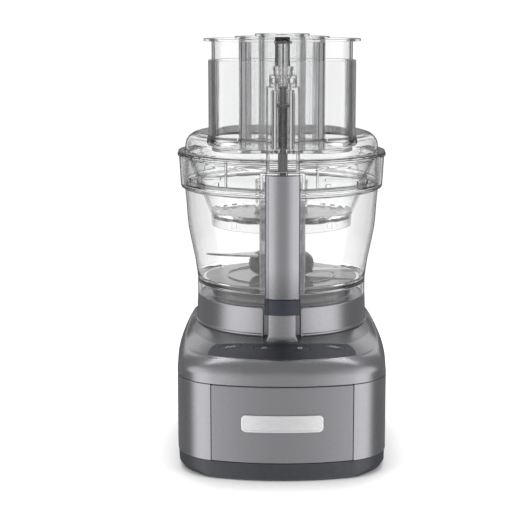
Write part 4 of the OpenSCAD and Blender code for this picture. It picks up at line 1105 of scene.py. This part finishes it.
def math_node(op, a, b=None):
    n = nt.nodes.new("ShaderNodeMath")
    n.operation = op
    for i, s in enumerate((a, b)):
        if s is None:
            continue
        if isinstance(s, (int, float)):
            n.inputs[i].default_value = s
        else:
            nt.links.new(s, n.inputs[i])
    return n.outputs[0]


ax = math_node("ABSOLUTE", sep.outputs[0])
az = math_node("DIVIDE", math_node("ARCTAN2", ax, math_node("MULTIPLY", sep.outputs[1], -1.0)), PI)   # 0 front, 1 back
el = math_node("DIVIDE", math_node("ARCSINE", sep.outputs[2]), PI / 2)                                # -1 below, 1 above
D = 1 / 180.0
side = ramp(nt, az, [(0, 0.80), (12 * D, 0.86), (24 * D, 1.15), (36 * D, 1.9), (50 * D, 2.3), (76 * D, 2.4), (94 * D, (0.32, 0.32, 0.33)), (152 * D, (0.27, 0.27, 0.28)), (164 * D, 0.12), (173 * D, 0.14), (1, 0.5)])
high = ramp(nt, az, [(0, 0.46), (60 * D, 0.50), (96 * D, 0.52), (150 * D, 0.40), (165 * D, 0.15), (1, 0.14)])


def pick(fac, a, b):
    n = nt.nodes.new("ShaderNodeMix")
    n.data_type = "RGBA"
    nt.links.new(fac, n.inputs["Factor"])
    nt.links.new(a, n.inputs["A"])
    nt.links.new(b, n.inputs["B"])
    return n.outputs["Result"]


turn = span(nt, az, 0.0, 1.0, 22 * D, 52 * D)
climb = math_node("DIVIDE", math_node("SUBTRACT", el, math_node("MULTIPLY", turn, 0.10)), math_node("ADD", math_node("MULTIPLY", turn, 0.28), 0.24))
pattern = pick(span(nt, climb, 0.0, 1.0, 0.0, 1.0), side, high)
flank = math_node("MULTIPLY", math_node("MULTIPLY", span(nt, az, 0.0, 1.0, 154 * D, 159 * D), span(nt, az, 1.0, 0.0, 162 * D, 168 * D)),
                  math_node("MULTIPLY", span(nt, el, 0.0, 1.0, 0.04, 0.12), span(nt, el, 1.0, 0.0, 0.33, 0.42)))
lit = nt.nodes.new("ShaderNodeRGB")
lit.outputs[0].default_value = (1.35, 1.35, 1.37, 1)
pattern = pick(flank, pattern, lit.outputs[0])
corner = math_node("MULTIPLY", math_node("MULTIPLY", span(nt, az, 0.0, 1.0, 60 * D, 80 * D), span(nt, az, 1.0, 0.0, 98 * D, 113 * D)),
                   math_node("MULTIPLY", span(nt, el, 0.0, 1.0, 0.02, 0.08), span(nt, el, 1.0, 0.0, 0.36, 0.56)))
lit = nt.nodes.new("ShaderNodeRGB")
lit.outputs[0].default_value = (1.9, 1.9, 1.9, 1)
pattern = pick(corner, pattern, lit.outputs[0])
over = nt.nodes.new("ShaderNodeRGB")
over.outputs[0].default_value = (1.45, 1.45, 1.48, 1)
pattern = pick(span(nt, el, 0.0, 1.0, 0.86, 0.94), pattern, over.outputs[0])
strip = math_node("MULTIPLY", span(nt, az, 0.0, 1.0, 95 * D, 115 * D), math_node("MULTIPLY", span(nt, el, 0.0, 1.0, 0.58, 0.63), span(nt, el, 1.0, 0.0, 0.74, 0.80)))
bright = nt.nodes.new("ShaderNodeRGB")
bright.outputs[0].default_value = (3.0, 3.0, 3.05, 1)
pattern = pick(strip, pattern, bright.outputs[0])
bg = nt.nodes.new("ShaderNodeBackground")
nt.links.new(pattern, bg.inputs["Color"])
bg.inputs["Strength"].default_value = 1.0
plain = nt.nodes.new("ShaderNodeBackground")
plain.inputs["Color"].default_value = (1, 1, 1, 1)
plain.inputs["Strength"].default_value = 1.05
# behind clear walls: white sheets straight ahead, darker gaps between them
sheet = ramp(nt, az, [(0, 1.05), (18 * D, 1.05), (30 * D, 0.16), (76 * D, 0.12), (82 * D, 1.0), (96 * D, 1.0), (102 * D, 0.10), (142 * D, 0.14), (158 * D, 1.05), (1, 1.05)])
top = nt.nodes.new("ShaderNodeRGB")
top.outputs[0].default_value = (0.8, 0.8, 0.8, 1)
through = nt.nodes.new("ShaderNodeBackground")
nt.links.new(pick(span(nt, el, 0.0, 1.0, 0.40, 0.60), sheet, top.outputs[0]), through.inputs["Color"])
lp = nt.nodes.new("ShaderNodeLightPath")
m1 = nt.nodes.new("ShaderNodeMixShader")
nt.links.new(lp.outputs["Is Transmission Ray"], m1.inputs[0])
nt.links.new(bg.outputs[0], m1.inputs[1])
nt.links.new(through.outputs[0], m1.inputs[2])
m2 = nt.nodes.new("ShaderNodeMixShader")
nt.links.new(lp.outputs["Is Camera Ray"], m2.inputs[0])
nt.links.new(m1.outputs[0], m2.inputs[1])
nt.links.new(plain.outputs[0], m2.inputs[2])
nt.links.new(m2.outputs[0], out.inputs["Surface"])


def area(name, loc, target, size, power, size_y=None, glossy=False):
    l = bpy.data.lights.new(name, "AREA")
    l.shape = "RECTANGLE"
    l.size, l.size_y = size, size_y or size
    l.energy = power
    o = bpy.data.objects.new(name, l)
    scene.collection.objects.link(o)
    o.location = loc
    o.rotation_euler = (Vector(target) - Vector(loc)).to_track_quat("-Z", "Y").to_euler()
    o.visible_camera = False
    o.visible_transmission = False
    o.visible_glossy = glossy
    return o


area("top_soft", (0.0, 0.42, 2.1), (0, 0, 0.05), 1.5, 42)
area("left_soft", (-1.3, -1.0, 0.9), (0, 0, 0.2), 1.0, 8)
area("right_soft", (1.3, -1.0, 0.9), (0, 0, 0.2), 1.0, 6)
area("back_strip", (0.0, 1.05, 1.9), (0, 0, 0.1), 1.6, 5, 0.12, True)

AZ, EL, DIST, TZ, TX = 0.2, 10.4, 1450.0, 179.5, -17.8
r = (cosd(AZ), sind(AZ))
tgt = Vector((TX * r[0], TX * r[1], TZ))
pos = tgt + DIST * Vector((sind(AZ) * cosd(EL), -cosd(AZ) * cosd(EL), sind(EL)))
cam = bpy.data.cameras.new("camera")
cam.sensor_width = 36
cam.lens = 36 * 1450 / 527
cam.clip_start, cam.clip_end = 0.05, 100
co = bpy.data.objects.new("camera", cam)
scene.collection.objects.link(co)
co.location = (pos.x * MM + CX, pos.y * MM + CY, pos.z * MM)
tg = Vector((tgt.x * MM + CX, tgt.y * MM + CY, tgt.z * MM))
co.rotation_euler = (tg - co.location).to_track_quat("-Z", "Y").to_euler()
scene.camera = co
scene.view_settings.view_transform = "Standard"
# enough bounces for the stacked clear walls
scene.cycles.max_bounces = 48
scene.cycles.transmission_bounces = 48
scene.cycles.transparent_max_bounces = 24

plain_list = lambda b: [[float(c) for c in v] for v in b]
{"cad": plain_list(CAD_BOX), "visual": plain_list(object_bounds())}
